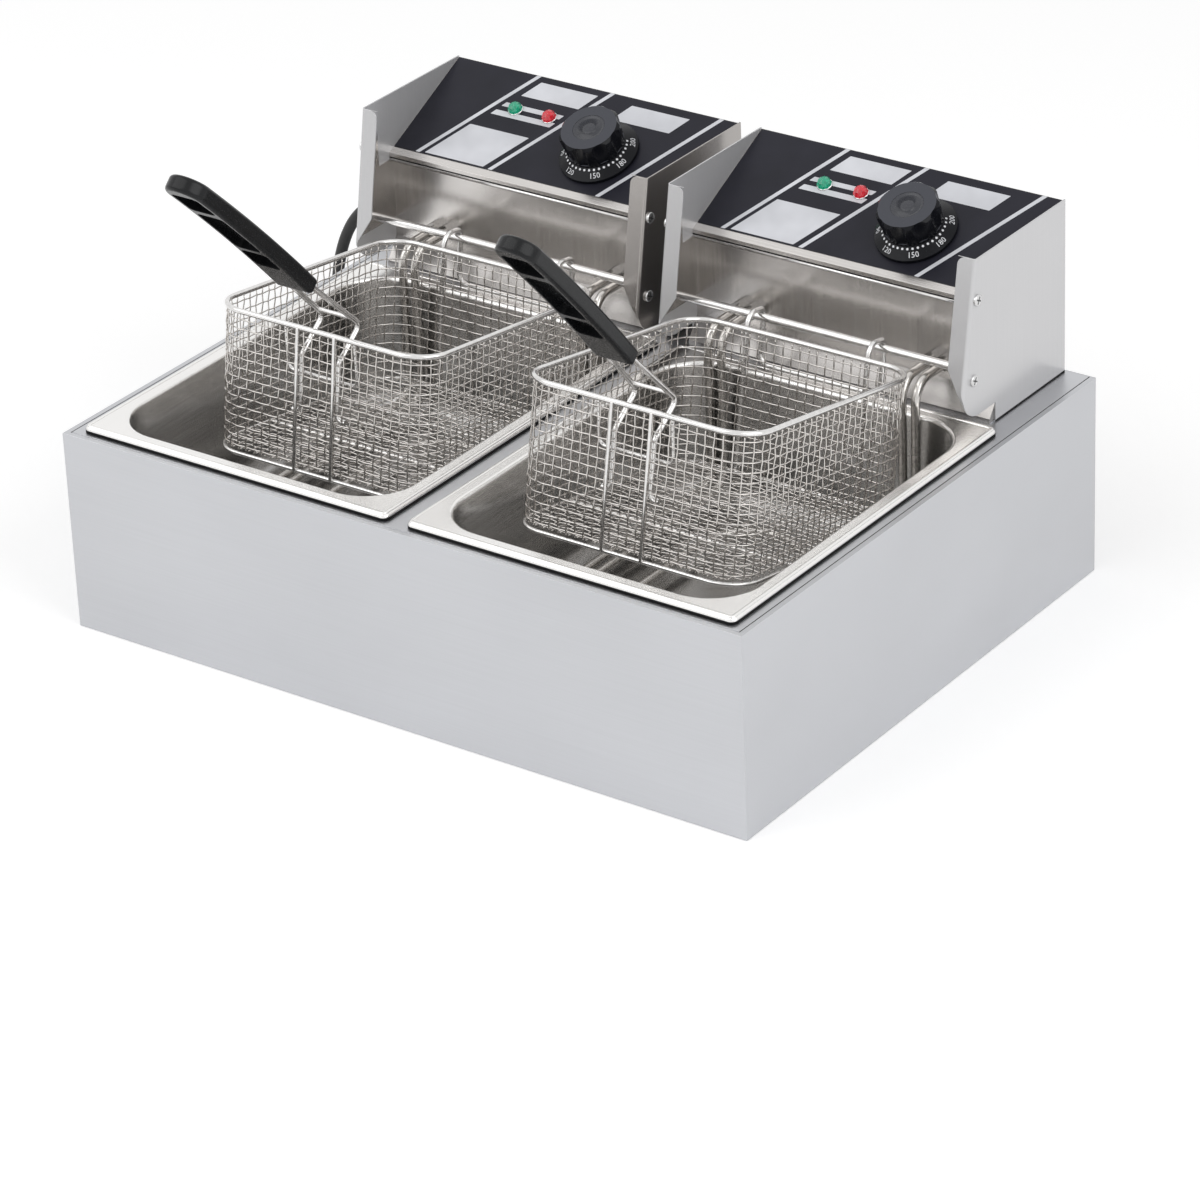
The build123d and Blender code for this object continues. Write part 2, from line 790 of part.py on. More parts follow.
def lamp(x):
    """Pilot lamp: a domed lens on a collar, with its barrel through the panel."""
    with BuildPart() as lens:
        with BuildSketch(overlay_plane):
            with Locations((x, lamp_up_panel)):
                Circle(lamp_diameter / 2)
        extrude(amount=lamp_collar_height + lamp_dome_height)
        top = lens.faces().sort_by(Axis((0, 0, 0), overlay_plane.z_dir))[-1]
        fillet(top.edges(), lamp_dome_height)
        with BuildSketch(overlay_plane):
            with Locations((x, lamp_up_panel)):
                Circle(lamp_barrel_diameter / 2)
        extrude(amount=-lamp_barrel_length)
    return lens.part


def terminal_block():
    """Block on the head's floor, with a wire hole for each pole."""
    middle_y = head_rear_y - terminal_from_rear - terminal_depth / 2
    pole_pitch = terminal_width / terminal_poles
    with BuildPart() as block:
        with BuildSketch(Plane.XY.offset(deck_z + head_sheet)):
            with Locations((-element_inner_loop, middle_y)):
                Rectangle(terminal_width, terminal_depth)
        extrude(amount=terminal_height)
        with BuildSketch(Plane.XZ.offset(-(middle_y - terminal_depth / 2))):
            with Locations((-element_inner_loop, deck_z + head_sheet + terminal_height / 2)):
                with GridLocations(pole_pitch, 1, terminal_poles, 1):
                    Circle(pole_pitch / 4)
        extrude(amount=-terminal_depth, mode=Mode.SUBTRACT)
    return block.part


def cheek_screws():
    """Pan-head screws through each cheek into the baffle's ear."""
    places = cheek_screw_places()
    with BuildPart() as screws:
        with BuildSketch(Plane.YZ.offset(cheek_outer_x)):
            with Locations(*places):
                Circle(screw_head_diameter / 2)
        extrude(amount=screw_head_height)
        fillet(
            screws.edges().filter_by(GeomType.CIRCLE).group_by(Axis.X)[-1],
            screw_head_height / 2,
        )
        with BuildSketch(Plane.YZ.offset(cheek_outer_x)):
            with Locations(*places):
                Circle(screw_shank_diameter / 2)
        extrude(amount=-2 * head_sheet)
        mirror(about=Plane.YZ)
    return screws.part


def cable_gland(mouth):
    """Gland with a flange on the sheet, a nut behind it and a tapered strain relief round the cord."""
    with BuildPart() as gland:
        with BuildSketch(mouth):
            Circle(gland_flange_diameter / 2)
        extrude(amount=gland_flange_thickness)
        with BuildSketch(mouth.offset(gland_flange_thickness)):
            Circle(relief_base_diameter / 2)
        with BuildSketch(mouth.offset(gland_length)):
            Circle(relief_tip_diameter / 2)
        loft()
        with BuildSketch(mouth):
            Circle(gland_stem_diameter / 2)
        extrude(amount=-(head_sheet + gland_nut_thickness))
        with BuildSketch(mouth.offset(-head_sheet)):
            RegularPolygon(gland_flange_diameter / 2, 6)
        extrude(amount=-gland_nut_thickness)
    return gland.part


# Baskets and handles, drawn from the hanger rod's axis


def ring_wire_loop(z, diameter):
    """A closed wire round the basket at one height."""
    half_width = basket_width / 2
    corners = [
        (-half_width, rear_rim_y, z),
        (half_width, rear_rim_y, z),
        (half_width, front_rim_y, z),
        (-half_width, front_rim_y, z),
    ]
    with BuildPart() as loop:
        with BuildLine() as path:
            FilletPolyline(*corners, radius=basket_corner_radius, close=True)
        with BuildSketch(path.wire() ^ 0):
            Circle(diameter / 2)
        sweep()
    return loop.part


def basket_frame():
    """Rim, bottom ring, floor wires, two uprights in front, and a keeper for the handle's legs."""
    rim = ring_wire_loop(rim_z, rim_wire)
    ring = ring_wire_loop(ring_z, ring_wire)
    keeper_half = [
        (keeper_width / 2, front_rim_y + keeper_start, rim_z),
        (keeper_width / 2, keeper_y, rim_z - keeper_drop),
    ]
    keeper = tube(there_and_back(keeper_half), [keeper_radius, keeper_radius], bracket_wire)
    step = basket_depth / (floor_wires + 1)
    with BuildPart() as frame:
        add(rim)
        add(ring)
        add(keeper)
        with BuildSketch(Plane.YZ):
            with Locations(*[(front_rim_y + step * (i + 1), ring_z) for i in range(floor_wires)]):
                Circle(ring_wire / 2)
        extrude(amount=basket_width / 2, both=True)
        with BuildSketch(Plane.XY.offset(rim_z)):
            with Locations(
                (-handle_wire_spacing / 2, bracket_y),
                (handle_wire_spacing / 2, bracket_y),
            ):
                Circle(bracket_wire / 2)
        extrude(amount=-basket_height)
    return frame.part


def net(plane, width, height, pitch, corner=0.0):
    """A flat net: one face with a grid of gaps, left whole beyond its round corners if it has any."""
    columns = max(1, round(width / pitch))
    rows = max(1, round(height / pitch))
    pitch_x = (width - net_strand) / columns
    pitch_y = (height - net_strand) / rows
    gap_x = pitch_x - net_strand
    gap_y = pitch_y - net_strand
    places = []
    for column in range(columns):
        for row in range(rows):
            x = (column - (columns - 1) / 2) * pitch_x
            y = (row - (rows - 1) / 2) * pitch_y
            past_x = abs(x) + gap_x / 2 - (width / 2 - corner)
            past_y = abs(y) + gap_y / 2 - (height / 2 - corner)
            if min(past_x, past_y) <= 0 or hypot(past_x, past_y) < corner - net_strand:
                places.append((x, y))
    with BuildPart() as panel:
        with BuildSketch(plane.offset(-net_thickness / 2)):
            if corner:
                RectangleRounded(width, height, corner)
            else:
                Rectangle(width, height)
            with Locations(*places):
                Rectangle(gap_x, gap_y, mode=Mode.SUBTRACT)
        extrude(amount=net_thickness)
    return panel.part


def corner_net():
    """A quarter round strip of the mesh at the rear right corner, with slots between its strands."""
    rows = max(1, round(net_height / net_pitch))
    pitch = (net_height - net_strand) / rows
    middle = Vector(net_flat_width / 2, rear_rim_y - basket_corner_radius, (net_top_z + net_bottom_z) / 2)
    axis = Axis(middle, (0, 0, 1))
    strand_angle = net_strand / basket_corner_radius
    slot_angle = (pi / 2 - 3 * strand_angle) / 2
    with BuildPart() as strip:
        with BuildSketch(Plane(middle, (1, 0, 0), (0, -1, 0))):
            with Locations((basket_corner_radius, 0)):
                Rectangle(net_thickness, net_height)
        revolve(axis=axis, revolution_arc=90)
        for start in (strand_angle, 2 * strand_angle + slot_angle):
            with BuildSketch(Plane(middle, (cos(start), sin(start), 0), (sin(start), -cos(start), 0))):
                with Locations((basket_corner_radius, 0)):
                    with GridLocations(1, pitch, 1, rows):
                        Rectangle(2 * net_thickness, pitch - net_strand)
            revolve(axis=axis, revolution_arc=slot_angle * 180 / pi, mode=Mode.SUBTRACT)
    return strip.part


def basket_mesh():
    """Four flat walls, four round corners and a floor of net, inside the frame's wires."""
    middle_z = (net_top_z + net_bottom_z) / 2
    floor_inset = net_thickness / 2 + wire_clearance
    front_plane = Plane((0, front_rim_y, middle_z), (1, 0, 0), (0, -1, 0))
    side_plane = Plane((basket_width / 2, basket_middle_y, middle_z), (0, 1, 0), (1, 0, 0))
    floor_plane = Plane((0, basket_middle_y, net_bottom_z + net_thickness / 2))
    front_wall = net(front_plane, net_flat_width, net_height, net_pitch)
    side_wall = net(side_plane, net_flat_depth, net_height, net_pitch)
    floor = net(
        floor_plane,
        basket_width - 2 * floor_inset,
        basket_depth - 2 * floor_inset,
        floor_pitch,
        basket_corner_radius - floor_inset,
    )
    right_corner = corner_net()
    left_corner = mirror(right_corner, about=Plane.YZ)
    other_side = mirror(side_wall, about=Plane.YZ)
    middle_plane = Plane((0, basket_middle_y, 0), (1, 0, 0), (0, 1, 0))
    mirrored = [mirror(piece, about=middle_plane) for piece in (front_wall, right_corner, left_corner)]
    pieces = [front_wall, side_wall, other_side, floor, right_corner, left_corner] + mirrored
    return Compound([piece.solid() for piece in pieces])


def hook_wire_loop():
    """One bent wire: up the rear wall, over the rod, down behind it, across, and back the same way."""
    leg_y = rear_rim_y + rim_wire / 2 + hook_wire / 2 + wire_clearance
    over = rod_diameter / 2 + wire_clearance + hook_wire / 2
    half = [
        (hook_spacing / 2, leg_y, ring_z),
        (hook_spacing / 2, leg_y, over),
        (hook_spacing / 2, over, over),
        (hook_spacing / 2, over, -hook_tail),
    ]
    radii = [hook_shoulder_radius, over - 0.01, hook_tail_radius]
    return tube(there_and_back(half), radii + radii[::-1], hook_wire)


def handle_elbow():
    """Where the handle's wires turn back to the wall, in the basket's Y and Z."""
    return (front_rim_y + handle_elbow_inset, rim_z - handle_elbow_drop)


def along_handle(distance):
    """A point on the handle's centreline, that far from its elbow."""
    y, z = handle_elbow()
    angle = radians(handle_angle)
    return (y - distance * cos(angle), z + distance * sin(angle))


def wire_spread(distance):
    """Half the spacing of the handle's wires, that far from the elbow: they close in towards the grip."""
    closing = (handle_wire_spacing - handle_neck_spacing) / handle_neck
    return (handle_wire_spacing - closing * distance) / 2


def handle_wires():
    """Two bent wires from the grip to the wall and down it, joined by a bar near each end of their run."""
    leg_z = rim_z - handle_leg_drop
    end = handle_neck + grip_socket_depth - 1
    half_spacing = handle_wire_spacing / 2
    route = [
        (wire_spread(end), *along_handle(end)),
        (half_spacing, *handle_elbow()),
        (half_spacing, handle_leg_y, rim_z - handle_knee_drop),
        (half_spacing, handle_leg_y, leg_z),
        (half_spacing + handle_foot, handle_leg_y, leg_z),
    ]
    radii = [handle_elbow_radius, handle_knee_radius, handle_foot_radius]
    right_wire = tube(route, radii, handle_wire)
    left_wire = mirror(right_wire, about=Plane.YZ)
    with BuildPart() as wires:
        add(right_wire)
        add(left_wire)
        for distance in (2 * handle_elbow_radius, handle_neck - 2 * handle_bar_wire):
            with BuildSketch(Plane.YZ):
                with Locations(along_handle(distance)):
                    Circle(handle_bar_wire / 2)
            extrude(amount=wire_spread(distance), both=True)
    return wires.part


def handle_grip():
    """Moulded grip: a shallow arch with a round end, pockets below, sockets, a hang hole and a slot."""
    neck_y, neck_z = along_handle(handle_neck)
    angle = radians(handle_angle)
    forward = Vector(0, -cos(angle), sin(angle))
    top_plane = Plane(origin=(0, neck_y, neck_z), x_dir=forward, z_dir=(0, sin(angle), cos(angle)))
    side_plane = Plane(origin=(0, neck_y, neck_z), x_dir=forward, z_dir=(-1, 0, 0))
    up = Axis((0, neck_y, neck_z), top_plane.z_dir)
    half = grip_thickness / 2
    middle = grip_length / 2
    socket_end = handle_neck + grip_socket_depth
    hole_at = grip_length - grip_hole_from_end
    slot_end = grip_length - grip_slot_from_end
    slot_start = slot_end - grip_slot_length
    neck_half = grip_width_at_neck / 2
    end_half = grip_width_at_end / 2
    groove_end = slot_start - grip_groove_width
    with BuildPart() as grip:
        with BuildSketch(side_plane):
            with BuildLine():
                bottom = ThreePointArc((0, -half), (middle, grip_arch - half), (grip_length, -half))
                top = ThreePointArc((0, half), (middle, grip_arch + half), (grip_length, half))
                Line(bottom @ 0, top @ 0)
                Line(bottom @ 1, top @ 1)
            make_face()
        extrude(amount=grip_width_at_end, both=True)
        with BuildSketch(top_plane):
            with BuildLine():
                Polyline(
                    (grip_length - end_half, end_half),
                    (0, neck_half),
                    (0, -neck_half),
                    (grip_length - end_half, -end_half),
                )
                ThreePointArc(
                    (grip_length - end_half, -end_half),
                    (grip_length, 0),
                    (grip_length - end_half, end_half),
                )
            make_face()
        extrude(amount=2 * grip_thickness, both=True, mode=Mode.INTERSECT)
        levels = grip.faces().sort_by(up)
        fillet(levels[0].edges() + levels[-1].edges(), grip_edge_radius)
        with BuildSketch(top_plane):
            with Locations((hole_at, 0)):
                Circle(grip_hole_diameter / 2)
            with BuildLine():
                Polyline(
                    (slot_end, grip_slot_tip / 2),
                    (slot_start, grip_slot_width / 2),
                    (slot_start, -grip_slot_width / 2),
                    (slot_end, -grip_slot_tip / 2),
                    close=True,
                )
            make_face()
        extrude(amount=2 * grip_thickness, both=True, mode=Mode.SUBTRACT)
        with BuildSketch(top_plane.offset(half - grip_skin)):
            for near, far in grip_pockets:
                with Locations((grip_length - (near + far) / 2, 0)):
                    RectangleRounded(far - near, 2 * (neck_half - grip_wall), grip_pocket_radius)
        extrude(amount=-2 * grip_thickness, mode=Mode.SUBTRACT)
        with BuildSketch(side_plane):
            for groove in range(grip_grooves):
                x = groove_end - groove * grip_groove_pitch
                top_here = half + grip_arch * (1 - ((x - middle) / middle) ** 2)
                with Locations((x, top_here)):
                    Rectangle(grip_groove_width, 2 * grip_groove_depth)
        extrude(amount=grip_groove_reach, both=True, mode=Mode.SUBTRACT)
        for sign in (-1, 1):
            mouth = Vector(sign * wire_spread(handle_neck), neck_y, neck_z)
            inner = Vector(sign * wire_spread(socket_end), *along_handle(socket_end))
            with BuildSketch(Plane(origin=mouth, z_dir=inner - mouth).offset(-handle_wire)):
                Circle(handle_wire / 2 + grip_socket_clearance)
            extrude(amount=handle_wire + grip_socket_depth, mode=Mode.SUBTRACT)
    return grip.part


# Mains cord


def route_radii(points):
    """The largest arc that each corner's runs allow."""
    radii = []
    for before, corner, after in zip(points, points[1:], points[2:]):
        turn = radians((Vector(corner) - Vector(before)).get_angle(Vector(after) - Vector(corner)))
        shorter = min(dist(before, corner), dist(corner, after))
        radii.append(arc_share * shorter / tan(turn / 2))
    return radii


def coil_point(turns):
    """The coil's centreline after so many turns: in along the floor, up a layer, and out again on top."""
    start = Vector(*cord_route[-1])
    rate = coil_pitch / (2 * pi)
    lead = atan(rate / coil_radius)
    centre = start + Vector(coil_radius * cos(lead), coil_radius * sin(lead), 0)
    inner_radius = coil_radius - coil_pitch * coil_spiral_turns
    climb = min(max((turns - coil_spiral_turns) / coil_climb_turns, 0), 1)
    if turns <= coil_spiral_turns:
        radius = coil_radius - coil_pitch * turns
    elif climb < 1:
        radius = inner_radius - coil_pitch * coil_climb_turns * (climb - climb**2)
    else:
        radius = inner_radius + coil_pitch * (turns - coil_spiral_turns - coil_climb_turns)
    angle = pi + lead - 2 * pi * turns
    rise = coil_pitch * (3 * climb**2 - 2 * climb**3)
    return centre + Vector(radius * cos(angle), radius * sin(angle), rise)


def coil_direction(turns):
    """The coil's unit tangent there."""
    step = 1e-5
    return (coil_point(turns + step) - coil_point(turns - step)).normalized()


def coil_length_turns():
    return 2 * coil_spiral_turns + coil_climb_turns


def coil_tube():
    """The coil's turns as one tube on quarter-turn biarcs, ending in a straight tail for the plug."""
    turns = coil_length_turns()
    quarters = round(turns * 4)
    stations = [i * turns / quarters for i in range(quarters + 1)]
    with BuildPart() as coil:
        with BuildLine() as path:
            for here, there in zip(stations, stations[1:]):
                biarc(coil_point(here), coil_direction(here), coil_point(there), coil_direction(there))
            Line(coil_point(turns), coil_point(turns) + coil_direction(turns) * coil_tail)
        with BuildSketch(Plane(origin=coil_point(0), z_dir=coil_direction(0))):
            Circle(cord_diameter / 2)
        sweep(path=path.wire())
    return coil.part


def biarc(start, start_direction, end, end_direction):
    """Two tangent arcs between two points with given directions."""
    across = end - start
    both = start_direction + end_direction
    spread = 2 * (1 - start_direction.dot(end_direction))
    lean = across.dot(both)
    reach = (sqrt(lean**2 + spread * across.dot(across)) - lean) / spread
    first = start + start_direction * reach
    second = end - end_direction * reach
    joint = (first + second) * 0.5
    TangentArc(start, joint, tangent=start_direction)
    TangentArc(joint, end, tangent=second - first)


def coil_self_gap():
    """The least gap between two stretches of the coil that are over half a turn apart, measured on points."""
    count = round(coil_length_turns() * 72)
    points = [coil_point(i * coil_length_turns() / count) for i in range(count + 1)]
    apart = count * 0.5 / coil_length_turns()
    pairs = ((a, b) for i, a in enumerate(points) for j, b in enumerate(points) if j - i > apart)
    return min((a - b).length for a, b in pairs) - cord_diameter


def cord_tie():
    """Strap round the coil's strands on one side, as a flat ring."""
    tie_at = coil_point(tie_turn)
    start = Vector(*cord_route[-1])
    centre = start + Vector(coil_radius, 0, 0)
    outward = Vector(tie_at.X - centre.X, tie_at.Y - centre.Y, 0).normalized()
    inner = coil_radius - coil_pitch * coil_spiral_turns - cord_diameter / 2 - tie_gap
    outer = coil_radius + cord_diameter / 2 + tie_gap
    height = cord_diameter + coil_pitch + tie_gap
    low_z = tie_thickness
    middle = centre + outward * ((inner + outer) / 2)
    section = Plane(
        origin=(middle.X, middle.Y, low_z + height / 2),
        x_dir=outward,
        z_dir=outward.cross(Vector(0, 0, 1)),
    )
    with BuildPart() as strap:
        with BuildSketch(section):
            RectangleRounded(outer - inner + 2 * tie_thickness, height + 2 * tie_thickness, cord_diameter / 3)
            RectangleRounded(
                outer - inner, height, cord_diameter / 3 - tie_thickness, mode=Mode.SUBTRACT
            )
        extrude(amount=tie_width / 2, both=True)
    return strap.part


def plug():
    """Moulded plug on the floor at the coil's end: a tapered relief, a block, two blades and an earth pin."""
    turns = coil_length_turns()
    heading = coil_direction(turns)
    tip = coil_point(turns) + heading * coil_tail
    mouth = Plane(origin=tip, x_dir=heading.cross(Vector(0, 0, 1)), z_dir=heading)
    face = mouth.offset(plug_relief_length + plug_length)
    with BuildPart() as body:
        with BuildSketch(mouth):
            Circle(relief_tip_diameter / 2)
        with BuildSketch(mouth.offset(plug_relief_length)):
            Circle(relief_base_diameter / 2)
        loft()
        with BuildSketch(mouth.offset(plug_relief_length)):
            RectangleRounded(plug_width, 2 * tip.Z, plug_corner_radius)
        extrude(amount=plug_length)
        with BuildSketch(face):
            blade_z = -earth_pin_rise / 2
            with Locations((-blade_spacing / 2, blade_z), (blade_spacing / 2, blade_z)):
                Rectangle(blade_thickness, blade_height)
            with Locations((0, earth_pin_rise)):
                Circle(earth_pin_diameter / 2)
        extrude(amount=blade_length)
    return body.part


def write_cabinet():
    write(cabinet_shell(), "cabinet_shell")
    write(rear_panel(), "rear_panel")
    write(rear_panel_screws(), "rear_panel_screws")
    write(base_plate(), "base_plate")


def write_tanks():
    pan = tank()
    for side, sign in sides.items():
        write(pan.moved(Location((sign * tank_x, tank_y, 0))), f"{side}_tank")


def write_heads():
    left_mouth = Plane(
        origin=(-cheek_outer_x, head_rear_y - gland_from_rear, deck_z + gland_rise), z_dir=(-1, 0, 0)
    )
    right_mouth = Plane(origin=(right_gland_x, head_rear_y, deck_z + gland_rise), z_dir=(0, 1, 0))
    shared = {
        "head_right_cheek": cheek(1, False),
        "head_baffle": baffle(),
        "head_floor": head_floor(),
        "panel_overlay": panel_overlay(),
        "hanger_rod": hanger_rod(),
        "heating_element": heating_element(),
        "element_nuts": element_nuts(),
        "thermostat": thermostat(),
        "terminal_block": terminal_block(),
        "green_lamp": lamp(green_lamp_x),
        "red_lamp": lamp(red_lamp_x),
        "cheek_screws": cheek_screws(),
        "knob": knob(),
        "knob_cap": knob_cap(),
    }
    own = {
        "left": {
            "head_left_cheek": cheek(-1, True),
            "head_cover": cover(False),
            "cable_gland": cable_gland(left_mouth),
        },
        "right": {
            "head_left_cheek": cheek(-1, False),
            "head_cover": cover(True),
            "cable_gland": cable_gland(right_mouth),
        },
    }
    for side, sign in sides.items():
        for label, piece in {**shared, **own[side]}.items():
            write(piece.moved(Location((sign * head_x, 0, 0))), f"{side}_{label}")


def write_baskets():
    pieces = {
        "basket_frame": basket_frame(),
        "basket_mesh": basket_mesh(),
        "basket_hook": hook_wire_loop(),
        "handle_wires": handle_wires(),
        "handle_grip": handle_grip(),
    }
    for side, sign in sides.items():
        hung = Location((sign * (head_x - basket_shift), rod_y, rod_z), (-basket_tilts[side], 0, 0))
        for label, piece in pieces.items():
            write(piece.moved(hung), f"{side}_{label}")


def write_cord():
    radii = route_radii(cord_route)
    lead = tube(cord_route, radii, cord_diameter)
    with BuildLine() as centreline:
        FilletPolyline(*cord_route, radius=radii)
    length = centreline.wire().length
    print("cord radii", [round(radius) for radius in radii])
    section = pi * cord_diameter**2 / 4
    print("cord length", round(length), "share of a plain tube", round(lead.volume / length / section, 3))
    coil = coil_tube()
    print("coil length", round(coil.volume / section), "least gap", round(coil_self_gap(), 2))
    write(lead, "power_cord")
    write(coil, "cord_coil")
    write(cord_tie(), "cord_tie")
    write(plug(), "cord_plug")


write_cabinet()
write_tanks()
write_heads()
write_baskets()
write_cord()
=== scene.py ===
from math import atan, atan2, cos, pi, radians, sin, sqrt

import bpy
import numpy as np
from mathutils import Matrix, Vector


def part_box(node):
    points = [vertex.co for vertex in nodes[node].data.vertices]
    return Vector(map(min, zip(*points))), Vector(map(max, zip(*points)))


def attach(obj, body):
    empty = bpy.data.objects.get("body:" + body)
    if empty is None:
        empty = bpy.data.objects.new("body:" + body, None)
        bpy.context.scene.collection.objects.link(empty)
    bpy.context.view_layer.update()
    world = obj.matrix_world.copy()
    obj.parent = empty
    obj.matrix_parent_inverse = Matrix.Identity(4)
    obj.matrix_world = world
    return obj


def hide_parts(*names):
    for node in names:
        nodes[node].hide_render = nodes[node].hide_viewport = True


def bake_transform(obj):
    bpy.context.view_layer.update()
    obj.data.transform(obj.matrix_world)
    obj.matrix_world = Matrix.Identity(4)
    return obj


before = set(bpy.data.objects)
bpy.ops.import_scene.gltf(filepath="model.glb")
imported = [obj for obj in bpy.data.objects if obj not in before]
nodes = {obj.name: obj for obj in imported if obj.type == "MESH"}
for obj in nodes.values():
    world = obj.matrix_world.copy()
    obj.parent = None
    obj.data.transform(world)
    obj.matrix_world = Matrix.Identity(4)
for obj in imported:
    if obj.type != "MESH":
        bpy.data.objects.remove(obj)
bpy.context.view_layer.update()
scene = bpy.context.scene
scene.view_settings.view_transform = "Standard"
SIDES = {"left": -1, "right": 1}

# Sizes shared with the solids, in metres
HEAD_X = 0.135
LIP_Y = 0.1295
LIP_Z = 0.239104
PANEL_ANGLE = radians(26)
OVERLAY_THICKNESS = 0.0005
KNOB_X, KNOB_UP = 0.037, 0.044
KNOB_GAP = 0.0008
SKIRT_RADIUS, SKIRT_EDGE, SKIRT_TOP_RADIUS, SKIRT_HEIGHT = 0.030, 0.002, 0.0215, 0.0075
KNOB_HEIGHT = 0.027
CAP_RADIUS, CAP_THICKNESS = 0.01195, 0.0012
LAMP_UP = 0.0645
LAMP_X = {"green": -0.051, "red": -0.0205}
LAMP_RADIUS = 0.006
BASKET_X = 0.1325
ROD_Y, ROD_Z = 0.104, 0.1985
BASKET_TILT = {"left": radians(8), "right": radians(10.3)}
BASKET_HALF_WIDTH = 0.093
BASKET_REAR, BASKET_FRONT = -0.0194, -0.2269
BASKET_CORNER = 0.025
MESH_TOP, MESH_BOTTOM = -0.0072, -0.1074
CORD_DIAMETER = 0.009
TANK_RIM = 0.1555
BAFFLE_BEND = 0.176
DECK_Z = 0.152
TANK_X, TANK_Y = 0.1408, -0.0515
FLANGE_WIDTH, FLANGE_DEPTH, FLANGE_CORNER = 0.265, 0.325, 0.005
SEAM_X, SEAM_FRONT, SEAM_REAR = 0.281, -0.2185, 0.2225
SEAM_WIDTH, SEAM_DEPTH = 0.0008, 0.0005
CHEEK_X, CHEEK_FOOT_FRONT, CHEEK_FOOT_REAR = 0.1265, 0.127, 0.2195
CHEEK_SCREWS = ((0.0975, 0.1955), (0.1025, 0.254))
CHEEK_SCREW_TOP = CHEEK_X + 0.00205

# Camera
CAMERA_RIGHT = (0.8137, 0.5799, -0.0385)
CAMERA_UP = (-0.2380, 0.3929, 0.8884)
CAMERA_BACK = (0.5303, -0.7137, 0.4577)
CAMERA_PLACE = (1.9729, -2.6653, 1.7618)
SENSOR_WIDTH_MM, LENS_MM = 36, 158.25
SHIFT_X, SHIFT_Y = 0.0192, -0.0590
VIEW_END = 50


def make_camera():
    """The camera, from its three axes and its place."""
    data = bpy.data.cameras.new("camera")
    data.sensor_width = SENSOR_WIDTH_MM
    data.lens = LENS_MM
    data.shift_x = SHIFT_X
    data.shift_y = SHIFT_Y
    data.clip_end = VIEW_END
    camera = bpy.data.objects.new("camera", data)
    turn = Matrix((CAMERA_RIGHT, CAMERA_UP, CAMERA_BACK)).transposed().to_quaternion().to_matrix()
    camera.matrix_world = Matrix.Translation(CAMERA_PLACE) @ turn.to_4x4()
    scene.collection.objects.link(camera)
    scene.camera = camera


# Materials

NOISE_LOW, NOISE_HIGH = 0.3, 0.7
BRUSH_SCALE, BRUSH_DEPTH = 900, 0.0002
CLOUD_SCALE, CLOUD_STRETCH = 7, (1, 1, 1.6)
SMOOTHER, ROUGHER = 2.5, 4
GRAIN_DEPTH = 0.0003
MOULDED_EDGE = 0.0006
FACING_FROM, FACING_FULL = 0.85, 0.97
DRAWN_OUT = 0.012
ALONG_X = (DRAWN_OUT, 1, 1)
ALONG_Y = (1, DRAWN_OUT, 1)
ALONG_Z = (1, 1, DRAWN_OUT)


def material(name, color, roughness, metallic=0.0, coat=0.0):
    """A principled material with constant values on its own sockets."""
    made = bpy.data.materials.new(name)
    made.use_nodes = True
    shader = made.node_tree.nodes["Principled BSDF"]
    shader.inputs["Base Color"].default_value = (*color, 1)
    shader.inputs["Roughness"].default_value = roughness
    shader.inputs["Metallic"].default_value = metallic
    shader.inputs["Coat Weight"].default_value = coat
    made.diffuse_color = (*color, 1)
    return made, made.node_tree.nodes, made.node_tree.links, shader


def noise(tree_nodes, links, scale, stretch=(1, 1, 1), detail=3.0):
    """Noise in the piece's own frame, drawn out along an axis that has a small stretch."""
    place = tree_nodes.new("ShaderNodeTexCoord")
    mapping = tree_nodes.new("ShaderNodeMapping")
    mapping.inputs["Scale"].default_value = stretch
    texture = tree_nodes.new("ShaderNodeTexNoise")
    texture.inputs["Scale"].default_value = scale
    texture.inputs["Detail"].default_value = detail
    links.new(place.outputs["Object"], mapping.inputs["Vector"])
    links.new(mapping.outputs["Vector"], texture.inputs["Vector"])
    return texture.outputs["Fac"]


def spread(tree_nodes, links, value, low, high):
    """Maps noise to a range."""
    mapped = tree_nodes.new("ShaderNodeMapRange")
    mapped.inputs["From Min"].default_value = NOISE_LOW
    mapped.inputs["From Max"].default_value = NOISE_HIGH
    mapped.inputs["To Min"].default_value = low
    mapped.inputs["To Max"].default_value = high
    links.new(value, mapped.inputs["Value"])
    return mapped.outputs["Result"]


def tint(tree_nodes, links, value, dark, light):
    """Maps noise to a colour between two."""
    ramp = tree_nodes.new("ShaderNodeValToRGB")
    ramp.color_ramp.elements[0].position = NOISE_LOW
    ramp.color_ramp.elements[1].position = NOISE_HIGH
    ramp.color_ramp.elements[0].color = (*dark, 1)
    ramp.color_ramp.elements[1].color = (*light, 1)
    links.new(value, ramp.inputs["Fac"])
    return ramp.outputs["Color"]


def bump(tree_nodes, links, shader, height, strength, distance, edge=0.0):
    """Bump from noise, on edges rounded by a small radius where one is given."""
    node = tree_nodes.new("ShaderNodeBump")
    node.inputs["Strength"].default_value = strength
    node.inputs["Distance"].default_value = distance
    links.new(height, node.inputs["Height"])
    if edge:
        rounded = tree_nodes.new("ShaderNodeBevel")
        rounded.samples = 4
        rounded.inputs["Radius"].default_value = edge
        links.new(rounded.outputs["Normal"], node.inputs["Normal"])
    links.new(node.outputs["Normal"], shader.inputs["Normal"])


def scaled(color, factor):
    """A colour times a factor, kept below white."""
    return tuple(min(1.0, channel * factor) for channel in color)


def uneven_color(tree_nodes, links, shader, value, color, dark, light):
    """Lets noise swing the base colour between two shares of it."""
    shade = tint(tree_nodes, links, value, scaled(color, dark), scaled(color, light))
    links.new(shade, shader.inputs["Base Color"])


